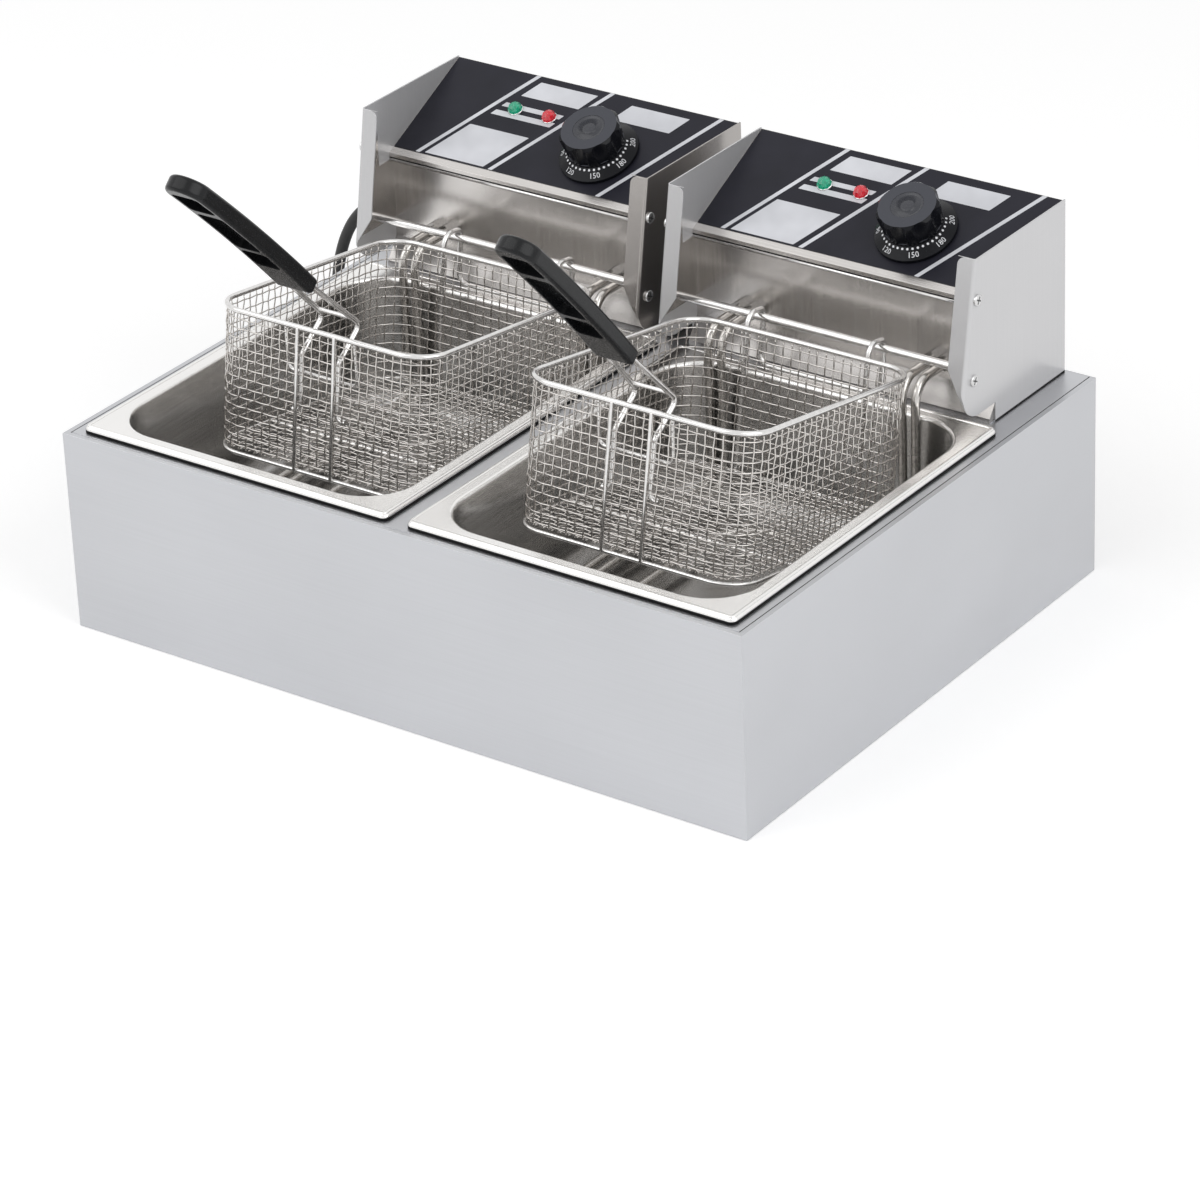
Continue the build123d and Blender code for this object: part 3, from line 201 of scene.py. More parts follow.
def uneven_gloss(tree_nodes, links, shader, value, low, high):
    """Lets noise swing the roughness between two values."""
    links.new(spread(tree_nodes, links, value, low, high), shader.inputs["Roughness"])


def steel(name, color, roughness, stretch, edge=0.0005, streak=0.015, cloud=0.025, relief=0.012,
          metallic=1.0):
    """Brushed sheet: fine streaks along one axis over slow, faint clouds."""
    made, tree, links, shader = material(name, color, roughness, metallic=metallic)
    fine = noise(tree, links, BRUSH_SCALE, stretch, detail=4)
    slow = noise(tree, links, CLOUD_SCALE, CLOUD_STRETCH, detail=2)
    mixed = tree.new("ShaderNodeMix")
    mixed.data_type = "FLOAT"
    mixed.inputs["Factor"].default_value = 0.5
    links.new(fine, mixed.inputs[2])
    links.new(slow, mixed.inputs[3])
    uneven_color(tree, links, shader, mixed.outputs[0], color, 1 - cloud - streak, 1 + cloud + streak)
    uneven_gloss(tree, links, shader, fine, roughness - SMOOTHER * relief, roughness + ROUGHER * relief)
    bump(tree, links, shader, fine, relief, BRUSH_DEPTH, edge)
    return made


def darker_below(made, height, factor, fade=0.006):
    """Painted shade: scales a material's colour by a factor below one height, fading in over a short
    drop.
    """
    tree, links = made.node_tree.nodes, made.node_tree.links
    color = tree["Principled BSDF"].inputs["Base Color"]
    place = tree.new("ShaderNodeTexCoord")
    split = tree.new("ShaderNodeSeparateXYZ")
    level = tree.new("ShaderNodeMapRange")
    level.inputs["From Min"].default_value = height - fade
    level.inputs["From Max"].default_value = height
    level.inputs["To Min"].default_value = factor
    level.inputs["To Max"].default_value = 1.0
    scale = tree.new("ShaderNodeVectorMath")
    scale.operation = "SCALE"
    links.new(place.outputs["Object"], split.inputs[0])
    links.new(split.outputs["Z"], level.inputs["Value"])
    links.new(color.links[0].from_socket, scale.inputs[0])
    links.new(level.outputs["Result"], scale.inputs["Scale"])
    links.new(scale.outputs[0], color)


def other_facing(made, axis, color):
    """Turns a material to another colour on the faces that look along one axis."""
    tree, links = made.node_tree.nodes, made.node_tree.links
    base = tree["Principled BSDF"].inputs["Base Color"]
    place = tree.new("ShaderNodeTexCoord")
    facing = tree.new("ShaderNodeVectorMath")
    facing.operation = "DOT_PRODUCT"
    facing.inputs[1].default_value = axis
    level = tree.new("ShaderNodeMapRange")
    level.inputs["From Min"].default_value = FACING_FROM
    level.inputs["From Max"].default_value = FACING_FULL
    mixed = tree.new("ShaderNodeMix")
    mixed.data_type = "RGBA"
    mixed.inputs[7].default_value = (*color, 1)
    links.new(place.outputs["Normal"], facing.inputs[0])
    links.new(facing.outputs["Value"], level.inputs["Value"])
    links.new(level.outputs["Result"], mixed.inputs[0])
    links.new(base.links[0].from_socket, mixed.inputs[6])
    links.new(mixed.outputs[2], base)


def wire_metal(name, color, roughness):
    """Bright plated wire with slight unevenness."""
    made, tree, links, shader = material(name, color, roughness, metallic=1.0)
    grain = noise(tree, links, 260, detail=2)
    uneven_color(tree, links, shader, grain, color, 0.93, 1.05)
    uneven_gloss(tree, links, shader, grain, roughness - 0.03, roughness + 0.05)
    bump(tree, links, shader, grain, 0.012, GRAIN_DEPTH)
    return made


def moulded(name, color, roughness, grain_scale, depth, lift=1.5, specular=0.5):
    """Moulded plastic or rubber with a fine grain and a little colour unevenness."""
    made, tree, links, shader = material(name, color, roughness)
    shader.inputs["Specular IOR Level"].default_value = specular
    grain = noise(tree, links, grain_scale, detail=4)
    slow = noise(tree, links, 30, detail=2)
    uneven_color(tree, links, shader, slow, color, 0.85, lift)
    uneven_gloss(tree, links, shader, grain, roughness - 0.06, roughness + 0.08)
    bump(tree, links, shader, grain, depth, GRAIN_DEPTH, MOULDED_EDGE)
    return made


def lens(name, color, glow):
    """Tinted clear plastic that lets some light through."""
    made, tree, links, shader = material(name, color, 0.12, coat=0.5)
    depth = noise(tree, links, 500, detail=1)
    uneven_color(tree, links, shader, depth, color, 0.6, 1.6)
    shader.inputs["Transmission Weight"].default_value = 0.25
    shader.inputs["Emission Color"].default_value = (*color, 1)
    shader.inputs["Emission Strength"].default_value = glow
    return made


CABINET = steel("cabinet_steel", (0.56, 0.567, 0.588), 0.34, ALONG_X)
CHEEK_BRUSH = {"stretch": ALONG_Z, "streak": 0.004, "cloud": 0.02, "relief": 0.002}
CHEEK = steel("cheek_steel", (0.585, 0.583, 0.592), 0.26, metallic=0.42, **CHEEK_BRUSH)
# Painted shade: a darker copy of the cheek steel, for the cheek that faces the dark gap between the two
# heads.
SHADED_GAP_CHEEK = steel("gap_cheek_painted_shade", (0.40, 0.38, 0.365), 0.22, **CHEEK_BRUSH)
HEAD_COLOR, HEAD_ROUGHNESS = (0.64, 0.617, 0.598), 0.24
HEAD = steel("head_steel", HEAD_COLOR, HEAD_ROUGHNESS, ALONG_X)
BAFFLE_WITH_PAINTED_SHADE = steel("baffle_steel_painted_shade", HEAD_COLOR, HEAD_ROUGHNESS, ALONG_Z, relief=0.008)
# Painted shade: the baffle's colour is darker below its bend, where the head shades it.
darker_below(BAFFLE_WITH_PAINTED_SHADE, BAFFLE_BEND, 0.58)
TANK_WITH_PAINTED_SHADE = steel("tank_steel", (0.86, 0.85, 0.835), 0.22, ALONG_Y, edge=0.0, cloud=0.02)
# Painted shade: the tank's colour darkens just below the rim, and more further down the well, where the
# well is in shade.
darker_below(TANK_WITH_PAINTED_SHADE, TANK_RIM, 0.82)
darker_below(TANK_WITH_PAINTED_SHADE, TANK_RIM, 0.64, fade=0.09)
WIRE = wire_metal("plated_wire", (0.74, 0.73, 0.72), 0.16)
MESH_WIRE = wire_metal("plated_mesh", (0.63, 0.605, 0.58), 0.12)
ELEMENT = wire_metal("element_tube", (0.60, 0.58, 0.555), 0.2)
SCREW = wire_metal("screw_metal", (0.66, 0.66, 0.66), 0.24)
# Painted shade: the element's nuts are plated like the screws, and their colour is darkened for the
# shade on them.
SHADED_NUT = wire_metal("nut_metal_painted_shade", (0.33, 0.32, 0.31), 0.2)
OVERLAY = moulded("panel_film", (0.0175, 0.0175, 0.0255), 0.36, 900, 0.03, lift=1.15, specular=0.18)
PRINT = moulded("panel_print", (0.68, 0.69, 0.73), 0.4, 700, 0.02, lift=1.05)
DIAL_PRINT = moulded("dial_print", (0.84, 0.85, 0.88), 0.4, 700, 0.02, lift=1.05)
KNOB_WITH_PAINTED_REFLECTION = moulded("knob_plastic_painted_reflection", (0.006, 0.0065, 0.009), 0.2, 500, 0.003, lift=1.1, specular=0.16)
# Painted reflection: the faces that look straight out of the panel, the knob's top, get a lighter slate
# colour for the bright light above.
other_facing(KNOB_WITH_PAINTED_REFLECTION, (0, -sin(PANEL_ANGLE), cos(PANEL_ANGLE)), (0.068, 0.071, 0.084))
CAP = moulded("knob_disc", (0.046, 0.048, 0.057), 0.25, 600, 0.003, lift=1.1, specular=0.4)
GRIP = moulded("grip_plastic", (0.008, 0.0085, 0.0095), 0.22, 1100, 0.03, lift=1.2, specular=0.25)
CORD = moulded("cord_jacket", (0.011, 0.011, 0.011), 0.42, 800, 0.1)
PLUG = moulded("plug_rubber", (0.013, 0.013, 0.013), 0.46, 900, 0.14)
BLADE = wire_metal("plug_pins", (0.68, 0.64, 0.55), 0.25)
TERMINAL = moulded("terminal_plastic", (0.75, 0.74, 0.71), 0.5, 600, 0.05, lift=1.05)
THERMOSTAT = moulded("thermostat_case", (0.25, 0.25, 0.27), 0.45, 600, 0.05, lift=1.1)
GREEN = lens("green_lens", (0.01, 0.3, 0.17), 0.25)
RED = lens("red_lens", (0.55, 0.015, 0.03), 0.25)
# Black for the cord tie, and painted shade for the screws' cross recesses.
DARK_TIE_AND_RECESS_SHADE = moulded("dark_tie_and_recess_shade", (0.03, 0.03, 0.03), 0.6, 500, 0.05)
# Near-black for the strips painted in as shade under the rims, the cheeks' feet and the lip, and for the
# deck's filled seams.
SHADE_AND_JOINT = moulded("shade_and_joint_dark", (0.008, 0.008, 0.0085), 0.6, 500, 0.05, specular=0.1)

NODE_MATERIALS = {
    "cabinet_shell": CABINET, "base_plate": CABINET, "rear_panel": CABINET, "rear_panel_screws": SCREW,
    "cord_tie": DARK_TIE_AND_RECESS_SHADE, "cord_plug": PLUG,
}
SIDE_MATERIALS = {
    "tank": TANK_WITH_PAINTED_SHADE, "head_left_cheek": CHEEK, "head_right_cheek": CHEEK, "head_cover": HEAD,
    "head_baffle": BAFFLE_WITH_PAINTED_SHADE, "head_floor": CABINET, "panel_overlay": OVERLAY, "hanger_rod": WIRE,
    "heating_element": ELEMENT, "element_nuts": SHADED_NUT, "thermostat": THERMOSTAT,
    "terminal_block": TERMINAL, "cheek_screws": SCREW, "cable_gland": PLUG, "knob": KNOB_WITH_PAINTED_REFLECTION,
    "basket_frame": WIRE, "basket_hook": WIRE, "handle_wires": WIRE, "handle_grip": GRIP,
}


def paint(node, *finish):
    """Gives a solid its material, or several."""
    slots = nodes[node].data.materials
    slots.clear()
    for one in finish:
        slots.append(one)


def paint_all():
    """Gives every solid its material. The left head's right cheek gets a darker, smoother steel whose
    dark colour is painted shade from the narrow gap between the two heads.
    """
    for node, finish in NODE_MATERIALS.items():
        paint(node, finish)
    for side in SIDES:
        for node, finish in SIDE_MATERIALS.items():
            paint(f"{side}_{node}", finish)
    # Painted shade: this cheek faces the gap between the two heads.
    paint("left_head_right_cheek", SHADED_GAP_CHEEK)


# Mesh helpers

# A direction that none of the tubes starts along
OFF_AXIS = (0.31, 0.17, 0.93)


def piece(name, verts, faces, finish, smooth=True):
    """A new piece of the scene from its vertices and faces."""
    data = bpy.data.meshes.new(name)
    data.from_pydata([tuple(v) for v in verts], [], [tuple(int(i) for i in f) for f in faces])
    data.materials.append(finish)
    data.polygons.foreach_set("use_smooth", [smooth] * len(data.polygons))
    data.update()
    made = bpy.data.objects.new(name, data)
    scene.collection.objects.link(made)
    return made


def tube(points, radius, sides, closed=False):
    """Rings round a line of points, carried along it without twist. Returns vertices and faces."""
    points = np.asarray(points, float)
    count = len(points)
    if closed:
        along = np.roll(points, -1, 0) - np.roll(points, 1, 0)
    else:
        along = np.gradient(points, axis=0)
    along /= np.linalg.norm(along, axis=1, keepdims=True)
    side = np.cross(along[0], OFF_AXIS)
    angles = np.arange(sides) * 2 * pi / sides
    rings = []
    for k in range(count):
        side = side - along[k] * (side @ along[k])
        side /= np.linalg.norm(side)
        other = np.cross(along[k], side)
        across = np.outer(np.cos(angles), side) + np.outer(np.sin(angles), other)
        rings.append(points[k] + radius * across)
    verts = np.concatenate(rings)
    faces = []
    for k in range(count if closed else count - 1):
        a, b = k * sides, ((k + 1) % count) * sides
        for j in range(sides):
            n = (j + 1) % sides
            faces.append((a + j, a + n, b + n, b + j))
    if not closed:
        faces.append(tuple(range(sides - 1, -1, -1)))
        faces.append(tuple(range((count - 1) * sides, count * sides)))
    return verts, faces


def joined(parts):
    """Several vertex and face lists as one."""
    verts, faces, start = [], [], 0
    for some_verts, some_faces in parts:
        verts.append(np.asarray(some_verts, float))
        faces += [tuple(i + start for i in face) for face in some_faces]
        start += len(some_verts)
    return np.concatenate(verts), faces


def lathe(profile, segments):
    """A closed turned solid about Z from (radius, height) points that start and end on the axis."""
    verts = [(0, 0, profile[0][1])]
    inner = profile[1:-1]
    for r, z in inner:
        for k in range(segments):
            a = 2 * pi * k / segments
            verts.append((r * cos(a), r * sin(a), z))
    verts.append((0, 0, profile[-1][1]))
    last = len(verts) - 1
    faces = []
    for k in range(segments):
        n = (k + 1) % segments
        faces.append((0, 1 + n, 1 + k))
        for ring in range(len(inner) - 1):
            a, b = 1 + ring * segments, 1 + (ring + 1) * segments
            faces.append((a + k, a + n, b + n, b + k))
        top = 1 + (len(inner) - 1) * segments
        faces.append((top + k, top + n, last))
    return verts, faces


def made_mesh(curve):
    """The vertices and faces that a curve gives. The curve itself is removed."""
    holder = bpy.data.objects.new(curve.name, curve)
    scene.collection.objects.link(holder)
    bpy.context.view_layer.update()
    graph = bpy.context.evaluated_depsgraph_get()
    data = bpy.data.meshes.new_from_object(holder.evaluated_get(graph))
    verts = [v.co.copy() for v in data.vertices]
    faces = [tuple(p.vertices) for p in data.polygons]
    bpy.data.objects.remove(holder)
    bpy.data.curves.remove(curve)
    bpy.data.meshes.remove(data)
    return verts, faces


# Control panels

PRINT_LIFT = 0.00012
PRINT_LINE_HALF_MM = 1.9
PATCH_STEPS = (0, 0.33, 0.67, 1)
LAMP_PROFILE = [(0, 0), (1.0, 0), (1.0, 0.2), (0.92, 0.45), (0.72, 0.75), (0.38, 0.95), (0, 1.0)]
LAMP_HEIGHT, LAMP_FACETS = 0.0062, 10
LENS_SHARE = 0.94
COLLAR_EDGE, COLLAR_HEIGHT, COLLAR_TOP_SHARE, COLLAR_SEGMENTS = 0.0006, 0.001, 0.9, 28
DIAL_MARKS = ["0", "60", "90", "120", "150", "180", "200"]
# Degrees round the dial, from its right side
DIAL_START, DIAL_SWEEP = 110, 280
DIAL_PRINT_LIFT = 0.00015
NUMBER_HEIGHT, NUMBER_SHARE = 0.0042, 0.38
TYPE_SIZE = 1.35
DOTS_BETWEEN = 4
DOT_RADIUS, DOT_SHARE, DOT_SIDES = 0.0009, 0.82, 8
CAP_EDGE, CAP_EDGE_DROP, CAP_SEGMENTS = 0.0003, 0.0001, 48
# The disc's dish and raised middle: shares of its radius, and the drop below its edge
CAP_DISH = [(0.84, 0.0009), (0.8, 0.001), (0.42, 0.001), (0.39, 0.0007), (0.34, 0.0006), (0, 0.0006)]


def panel_matrix(side, x, up, lift):
    """Places a piece's XY plane on the sloped panel: X across, Y up the slope, Z out of it."""
    normal = Vector((0, -sin(PANEL_ANGLE), cos(PANEL_ANGLE)))
    slope = Vector((0, cos(PANEL_ANGLE), sin(PANEL_ANGLE)))
    place = Vector((SIDES[side] * HEAD_X + x, LIP_Y, LIP_Z)) + slope * up + normal * lift
    turn = Matrix(((1, 0, 0), slope, normal)).transposed()
    return Matrix.Translation(place) @ turn.to_4x4()


def patch(corners, radius=0.0006):
    """A flat patch with small round corners, as one face."""
    points = [Vector(c) for c in corners]
    count = len(points)
    verts = []
    for k in range(count):
        before, here, after = points[k - 1], points[k], points[(k + 1) % count]
        start = here + (before - here).normalized() * radius
        end = here + (after - here).normalized() * radius
        for t in PATCH_STEPS:
            verts.append(start * (1 - t) ** 2 + here * 2 * t * (1 - t) + end * t**2)
    area = sum(a.x * b.y - b.x * a.y for a, b in zip(verts, verts[1:] + verts[:1]))
    if area < 0:
        verts.reverse()
    return [(v.x, v.y, 0) for v in verts], [tuple(range(len(verts)))]


def slanted(rear, front, half):
    """A printed line between two places, with level ends."""
    (x1, y1), (x2, y2) = rear, front
    return [(x1 - half, y1), (x1 + half, y1), (x2 + half, y2), (x2 - half, y2)]


PANEL_PRINT_MM = [
    slanted((-51, 99.4), (-103.6, 6.6), PRINT_LINE_HALF_MM),
    slanted((15.1, 99.4), (-38, 6.6), PRINT_LINE_HALF_MM),
    slanted((111, 99.4), (57.6, 6.6), PRINT_LINE_HALF_MM),
    [(-46, 94), (5, 94), (-3, 78), (-54.5, 78)],
    [(-62, 69.2), (-10.2, 69.2), (-12.3, 65), (-64.2, 65)],
    [(-66, 60.8), (-13, 60.8), (-15.3, 55.9), (-68.4, 55.9)],
    [(-78, 42.4), (-25, 42.4), (-44.6, 7.6), (-97.5, 7.6)],
    [(36, 92.6), (87, 92.6), (78.4, 76), (27.6, 76)],
]


def add_panel_print(side):
    """White lines and plain label fields on the dark film."""
    parts = [patch([(x / 1000, y / 1000) for x, y in shape]) for shape in PANEL_PRINT_MM]
    print_piece = piece(f"{side}_panel_print", *joined(parts), PRINT, smooth=False)
    print_piece.matrix_world = panel_matrix(side, 0, 0, OVERLAY_THICKNESS + PRINT_LIFT)
    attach(print_piece, f"{side}_head")


def add_lamp(side, colour, finish):
    """A faceted dome on a thin bright collar."""
    dome = lathe([(r * LAMP_RADIUS * LENS_SHARE, z * LAMP_HEIGHT) for r, z in LAMP_PROFILE], LAMP_FACETS)
    made = piece(f"{side}_{colour}_lens", *dome, finish, smooth=False)
    at = panel_matrix(side, LAMP_X[colour], LAMP_UP, OVERLAY_THICKNESS)
    made.matrix_world = at
    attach(made, f"{side}_head")
    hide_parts(f"{side}_{colour}_lamp")
    collar = lathe([
        (0, 0), (LAMP_RADIUS, 0), (LAMP_RADIUS, COLLAR_EDGE),
        (LAMP_RADIUS * COLLAR_TOP_SHARE, COLLAR_HEIGHT), (0, COLLAR_HEIGHT),
    ], COLLAR_SEGMENTS)
    ring = piece(f"{side}_{colour}_collar", *collar, SCREW)
    ring.matrix_world = at
    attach(ring, f"{side}_head")


def text_mesh(words, height):
    """Flat lettering centred on the origin, as vertices and faces."""
    curve = bpy.data.curves.new("dial_text", "FONT")
    curve.body = words
    curve.size = height * TYPE_SIZE
    curve.align_x = "CENTER"
    curve.align_y = "CENTER"
    curve.resolution_u = 2
    return made_mesh(curve)


def on_skirt(verts, angle, share):
    """Lays flat lettering on the dial's cone: X round it, Y up it, at a share of the cone's height."""
    slant = atan2(SKIRT_HEIGHT - SKIRT_EDGE, SKIRT_RADIUS - SKIRT_TOP_RADIUS)
    radius = SKIRT_RADIUS + (SKIRT_TOP_RADIUS - SKIRT_RADIUS) * share
    height = SKIRT_EDGE + (SKIRT_HEIGHT - SKIRT_EDGE) * share + DIAL_PRINT_LIFT
    laid = []
    for v in verts:
        r = radius - v[1] * cos(slant)
        a = angle + v[0] / radius
        laid.append((r * cos(a), r * sin(a), height + v[1] * sin(slant)))
    return laid


def add_dial(side):
    """Numbers and dots on the knob's skirt, and a dished disc in its top."""
    at = panel_matrix(side, KNOB_X, KNOB_UP, OVERLAY_THICKNESS + KNOB_GAP)
    corners = [2 * pi * k / DOT_SIDES for k in range(DOT_SIDES)]
    dot = [(DOT_RADIUS * cos(a), DOT_RADIUS * sin(a)) for a in corners]
    parts = []
    step = radians(DIAL_SWEEP) / (len(DIAL_MARKS) - 1)
    start = radians(DIAL_START)
    for i, words in enumerate(DIAL_MARKS):
        verts, faces = text_mesh(words, NUMBER_HEIGHT)
        parts.append((on_skirt(verts, start + i * step, NUMBER_SHARE), faces))
        last_mark = i == len(DIAL_MARKS) - 1
        for k in range(1 if last_mark else DOTS_BETWEEN + 1):
            angle = start + i * step + step * k / (DOTS_BETWEEN + 1)
            parts.append((on_skirt(dot, angle, DOT_SHARE), [tuple(range(DOT_SIDES))]))
    marks = piece(f"{side}_dial_marks", *joined(parts), DIAL_PRINT, smooth=False)
    marks.matrix_world = at
    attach(marks, f"{side}_knob")
    low, high = KNOB_HEIGHT - CAP_THICKNESS, KNOB_HEIGHT
    profile = [(0, low), (CAP_RADIUS, low)]
    profile += [(CAP_RADIUS, high - CAP_EDGE_DROP), (CAP_RADIUS - CAP_EDGE, high)]
    profile += [(CAP_RADIUS * share, high - drop) for share, drop in CAP_DISH]
    disc = piece(f"{side}_knob_disc", *lathe(profile, CAP_SEGMENTS), CAP)
    disc.matrix_world = at
    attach(disc, f"{side}_knob")
    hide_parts(f"{side}_knob_cap")


# Baskets

WALL_FLAT_X = 2 * (BASKET_HALF_WIDTH - BASKET_CORNER)
WALL_FLAT_Y = (BASKET_REAR - BASKET_FRONT) - 2 * BASKET_CORNER
WALL_ARC = BASKET_CORNER * pi / 2
WALL_LENGTH = 2 * (WALL_FLAT_X + WALL_FLAT_Y) + 4 * WALL_ARC
BASKET_MIDDLE = (BASKET_REAR + BASKET_FRONT) / 2
WEAVE_PITCH = 0.00697
WEAVE_RADIUS = 0.00052
WEAVE_LIFT = 0.00045
WEAVE_SIDES = 5
WEAVE_FOOT_INSET = 0.0012
WEAVE_END_GAP = 0.001
FLOOR_INSET, FLOOR_RAISE = 0.0016, 0.0006


def basket_matrix(side):
    """The basket's own frame: its origin is on the rod, and it leans by the basket's tilt."""
    place = Matrix.Translation((SIDES[side] * BASKET_X, ROD_Y, ROD_Z))
    return place @ Matrix.Rotation(-BASKET_TILT[side], 4, "X")


def wall_point(distance, offset):
    """A point round the basket's wall, that far along it, moved outwards by offset."""
    distance %= WALL_LENGTH
    heading = 0.0
    x, y = -WALL_FLAT_X / 2, BASKET_MIDDLE - WALL_FLAT_Y / 2 - BASKET_CORNER
    for run in (WALL_FLAT_X, WALL_FLAT_Y, WALL_FLAT_X, WALL_FLAT_Y):
        ahead = np.array((cos(heading), sin(heading)))
        out = np.array((sin(heading), -cos(heading)))
        if distance <= run:
            return np.array((x, y)) + ahead * distance + out * offset
        distance -= run
        x, y = np.array((x, y)) + ahead * run
        centre = np.array((x, y)) - out * BASKET_CORNER
        if distance <= WALL_ARC:
            turn = heading - pi / 2 + distance / BASKET_CORNER
            return centre + (BASKET_CORNER + offset) * np.array((cos(turn), sin(turn)))
        distance -= WALL_ARC
        heading += pi / 2
        x, y = centre + BASKET_CORNER * np.array((sin(heading), -cos(heading)))
    raise ValueError("past the end of the wall")


def weave():
    """The woven mesh of one basket: uprights, rings and a floor, as one mesh in the basket's frame."""
    columns = 2 * round(WALL_LENGTH / WEAVE_PITCH / 2)
    pitch = WALL_LENGTH / columns
    rows = round((MESH_TOP - MESH_BOTTOM) / WEAVE_PITCH)
    heights = [MESH_BOTTOM + (MESH_TOP - MESH_BOTTOM) * (j + 0.5) / rows for j in range(rows)]
    parts = []
    for i in range(columns):
        points = [(*wall_point(i * pitch, 0), MESH_TOP)]
        for j in reversed(range(rows)):
            side = 1 if (i + j) % 2 else -1
            points.append((*wall_point(i * pitch, side * WEAVE_LIFT), heights[j]))
        points.append((*wall_point(i * pitch, -WEAVE_FOOT_INSET), MESH_BOTTOM))
        parts.append(tube(eased(points), WEAVE_RADIUS, WEAVE_SIDES))
    for j in range(rows):
        points = []
        for i in range(columns):
            side = -1 if (i + j) % 2 else 1
            points.append((*wall_point(i * pitch, side * WEAVE_LIFT), heights[j]))
            points.append((*wall_point((i + 0.5) * pitch, 0), heights[j]))
        parts.append(tube(points, WEAVE_RADIUS, WEAVE_SIDES, closed=True))
    parts += floor_weave()
    return joined(parts)


def eased(points):
    """The points with a point half way between each two."""
    points = np.asarray(points, float)
    between = (points[1:] + points[:-1]) / 2
    both = np.empty((len(points) + len(between), 3))
    both[0::2] = points
    both[1::2] = between
    return both


def floor_weave():
    """Wires of the floor each way, ending at the wall."""
    half_x = BASKET_HALF_WIDTH - FLOOR_INSET
    half_y = (BASKET_REAR - BASKET_FRONT) / 2 - FLOOR_INSET
    corner = BASKET_CORNER - FLOOR_INSET
    level = MESH_BOTTOM + FLOOR_RAISE
    count_x = round(2 * half_x / WEAVE_PITCH)
    count_y = round(2 * half_y / WEAVE_PITCH)
    xs = [-half_x + 2 * half_x * (i + 0.5) / count_x for i in range(count_x)]
    ys = [-half_y + 2 * half_y * (j + 0.5) / count_y for j in range(count_y)]

    def reach(place, half_here, half_along):
        """Half the length of the wire at a place across the floor."""
        past = abs(place) - (half_here - corner)
        if past <= 0:
            return half_along
        return half_along - corner + sqrt(max(corner**2 - past**2, 0))

    parts = []
    for i, x in enumerate(xs):
        end = reach(x, half_x, half_y)
        inner = [(x, BASKET_MIDDLE + y, level + WEAVE_LIFT * (1 if (i + j) % 2 else -1))
                 for j, y in enumerate(ys) if abs(y) < end - WEAVE_END_GAP]
        line = [(x, BASKET_MIDDLE - end, level)] + inner + [(x, BASKET_MIDDLE + end, level)]
        parts.append(tube(eased(line), WEAVE_RADIUS, WEAVE_SIDES))
    for j, y in enumerate(ys):
        end = reach(y, half_y, half_x)
        inner = [(x, BASKET_MIDDLE + y, level - WEAVE_LIFT * (1 if (i + j) % 2 else -1))
                 for i, x in enumerate(xs) if abs(x) < end - WEAVE_END_GAP]
        line = [(-end, BASKET_MIDDLE + y, level)] + inner + [(end, BASKET_MIDDLE + y, level)]
        parts.append(tube(eased(line), WEAVE_RADIUS, WEAVE_SIDES))
    return parts


def add_baskets():
    """The woven mesh of both baskets. The second shares the first one's mesh."""
    first = None
    for side in SIDES:
        name = f"{side}_woven_mesh"
        if first is None:
            made = piece(name, *weave(), MESH_WIRE)
            first = made
        else:
            made = bpy.data.objects.new(name, first.data)
            scene.collection.objects.link(made)
        made.matrix_world = basket_matrix(side)
        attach(made, f"{side}_basket")
        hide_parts(f"{side}_basket_mesh")


# Mains cord: the route's points and the coil's turns are one spline's control points

CORD_ROUTE_MM = [
    (-287, 182.5, 170), (-312, 182.5, 170), (-335, 182, 155), (-350, 181, 131), (-358.5, 179.5, 98),
    (-359.5, 180, 66), (-359, 189, 37), (-358, 210, 17), (-357, 238, 7.5), (-356, 268, 5.5),
    (-356, 295, 5.5),
]
COIL_RADIUS, COIL_PITCH = 57.0, 9.7
COIL_SPIRAL_TURNS, COIL_CLIMB_TURNS = 1.375, 0.5
COIL_TAIL = 20.0
COIL_POINTS_A_TURN = 16
COIL_END_STEP = 1e-4
CORD_SPLIT = 0.16
CORD_SIDES = 16
BLADE_LENGTH = 0.0182


def coil_point_mm(turns):
    """The coil's centreline after so many turns: in along the floor, up a layer, and out again."""
    rate = COIL_PITCH / (2 * pi)
    lead = atan(rate / COIL_RADIUS)
    start = np.array(CORD_ROUTE_MM[-1], float)
    centre = start + np.array((COIL_RADIUS * cos(lead), COIL_RADIUS * sin(lead), 0))
    inner = COIL_RADIUS - COIL_PITCH * COIL_SPIRAL_TURNS
    climb = min(max((turns - COIL_SPIRAL_TURNS) / COIL_CLIMB_TURNS, 0), 1)
    if turns <= COIL_SPIRAL_TURNS:
        radius = COIL_RADIUS - COIL_PITCH * turns
    elif climb < 1:
        radius = inner - COIL_PITCH * COIL_CLIMB_TURNS * (climb - climb**2)
    else:
        radius = inner + COIL_PITCH * (turns - COIL_SPIRAL_TURNS - COIL_CLIMB_TURNS)
    angle = pi + lead - 2 * pi * turns
    rise = COIL_PITCH * (3 * climb**2 - 2 * climb**3)
    return centre + np.array((radius * cos(angle), radius * sin(angle), rise))


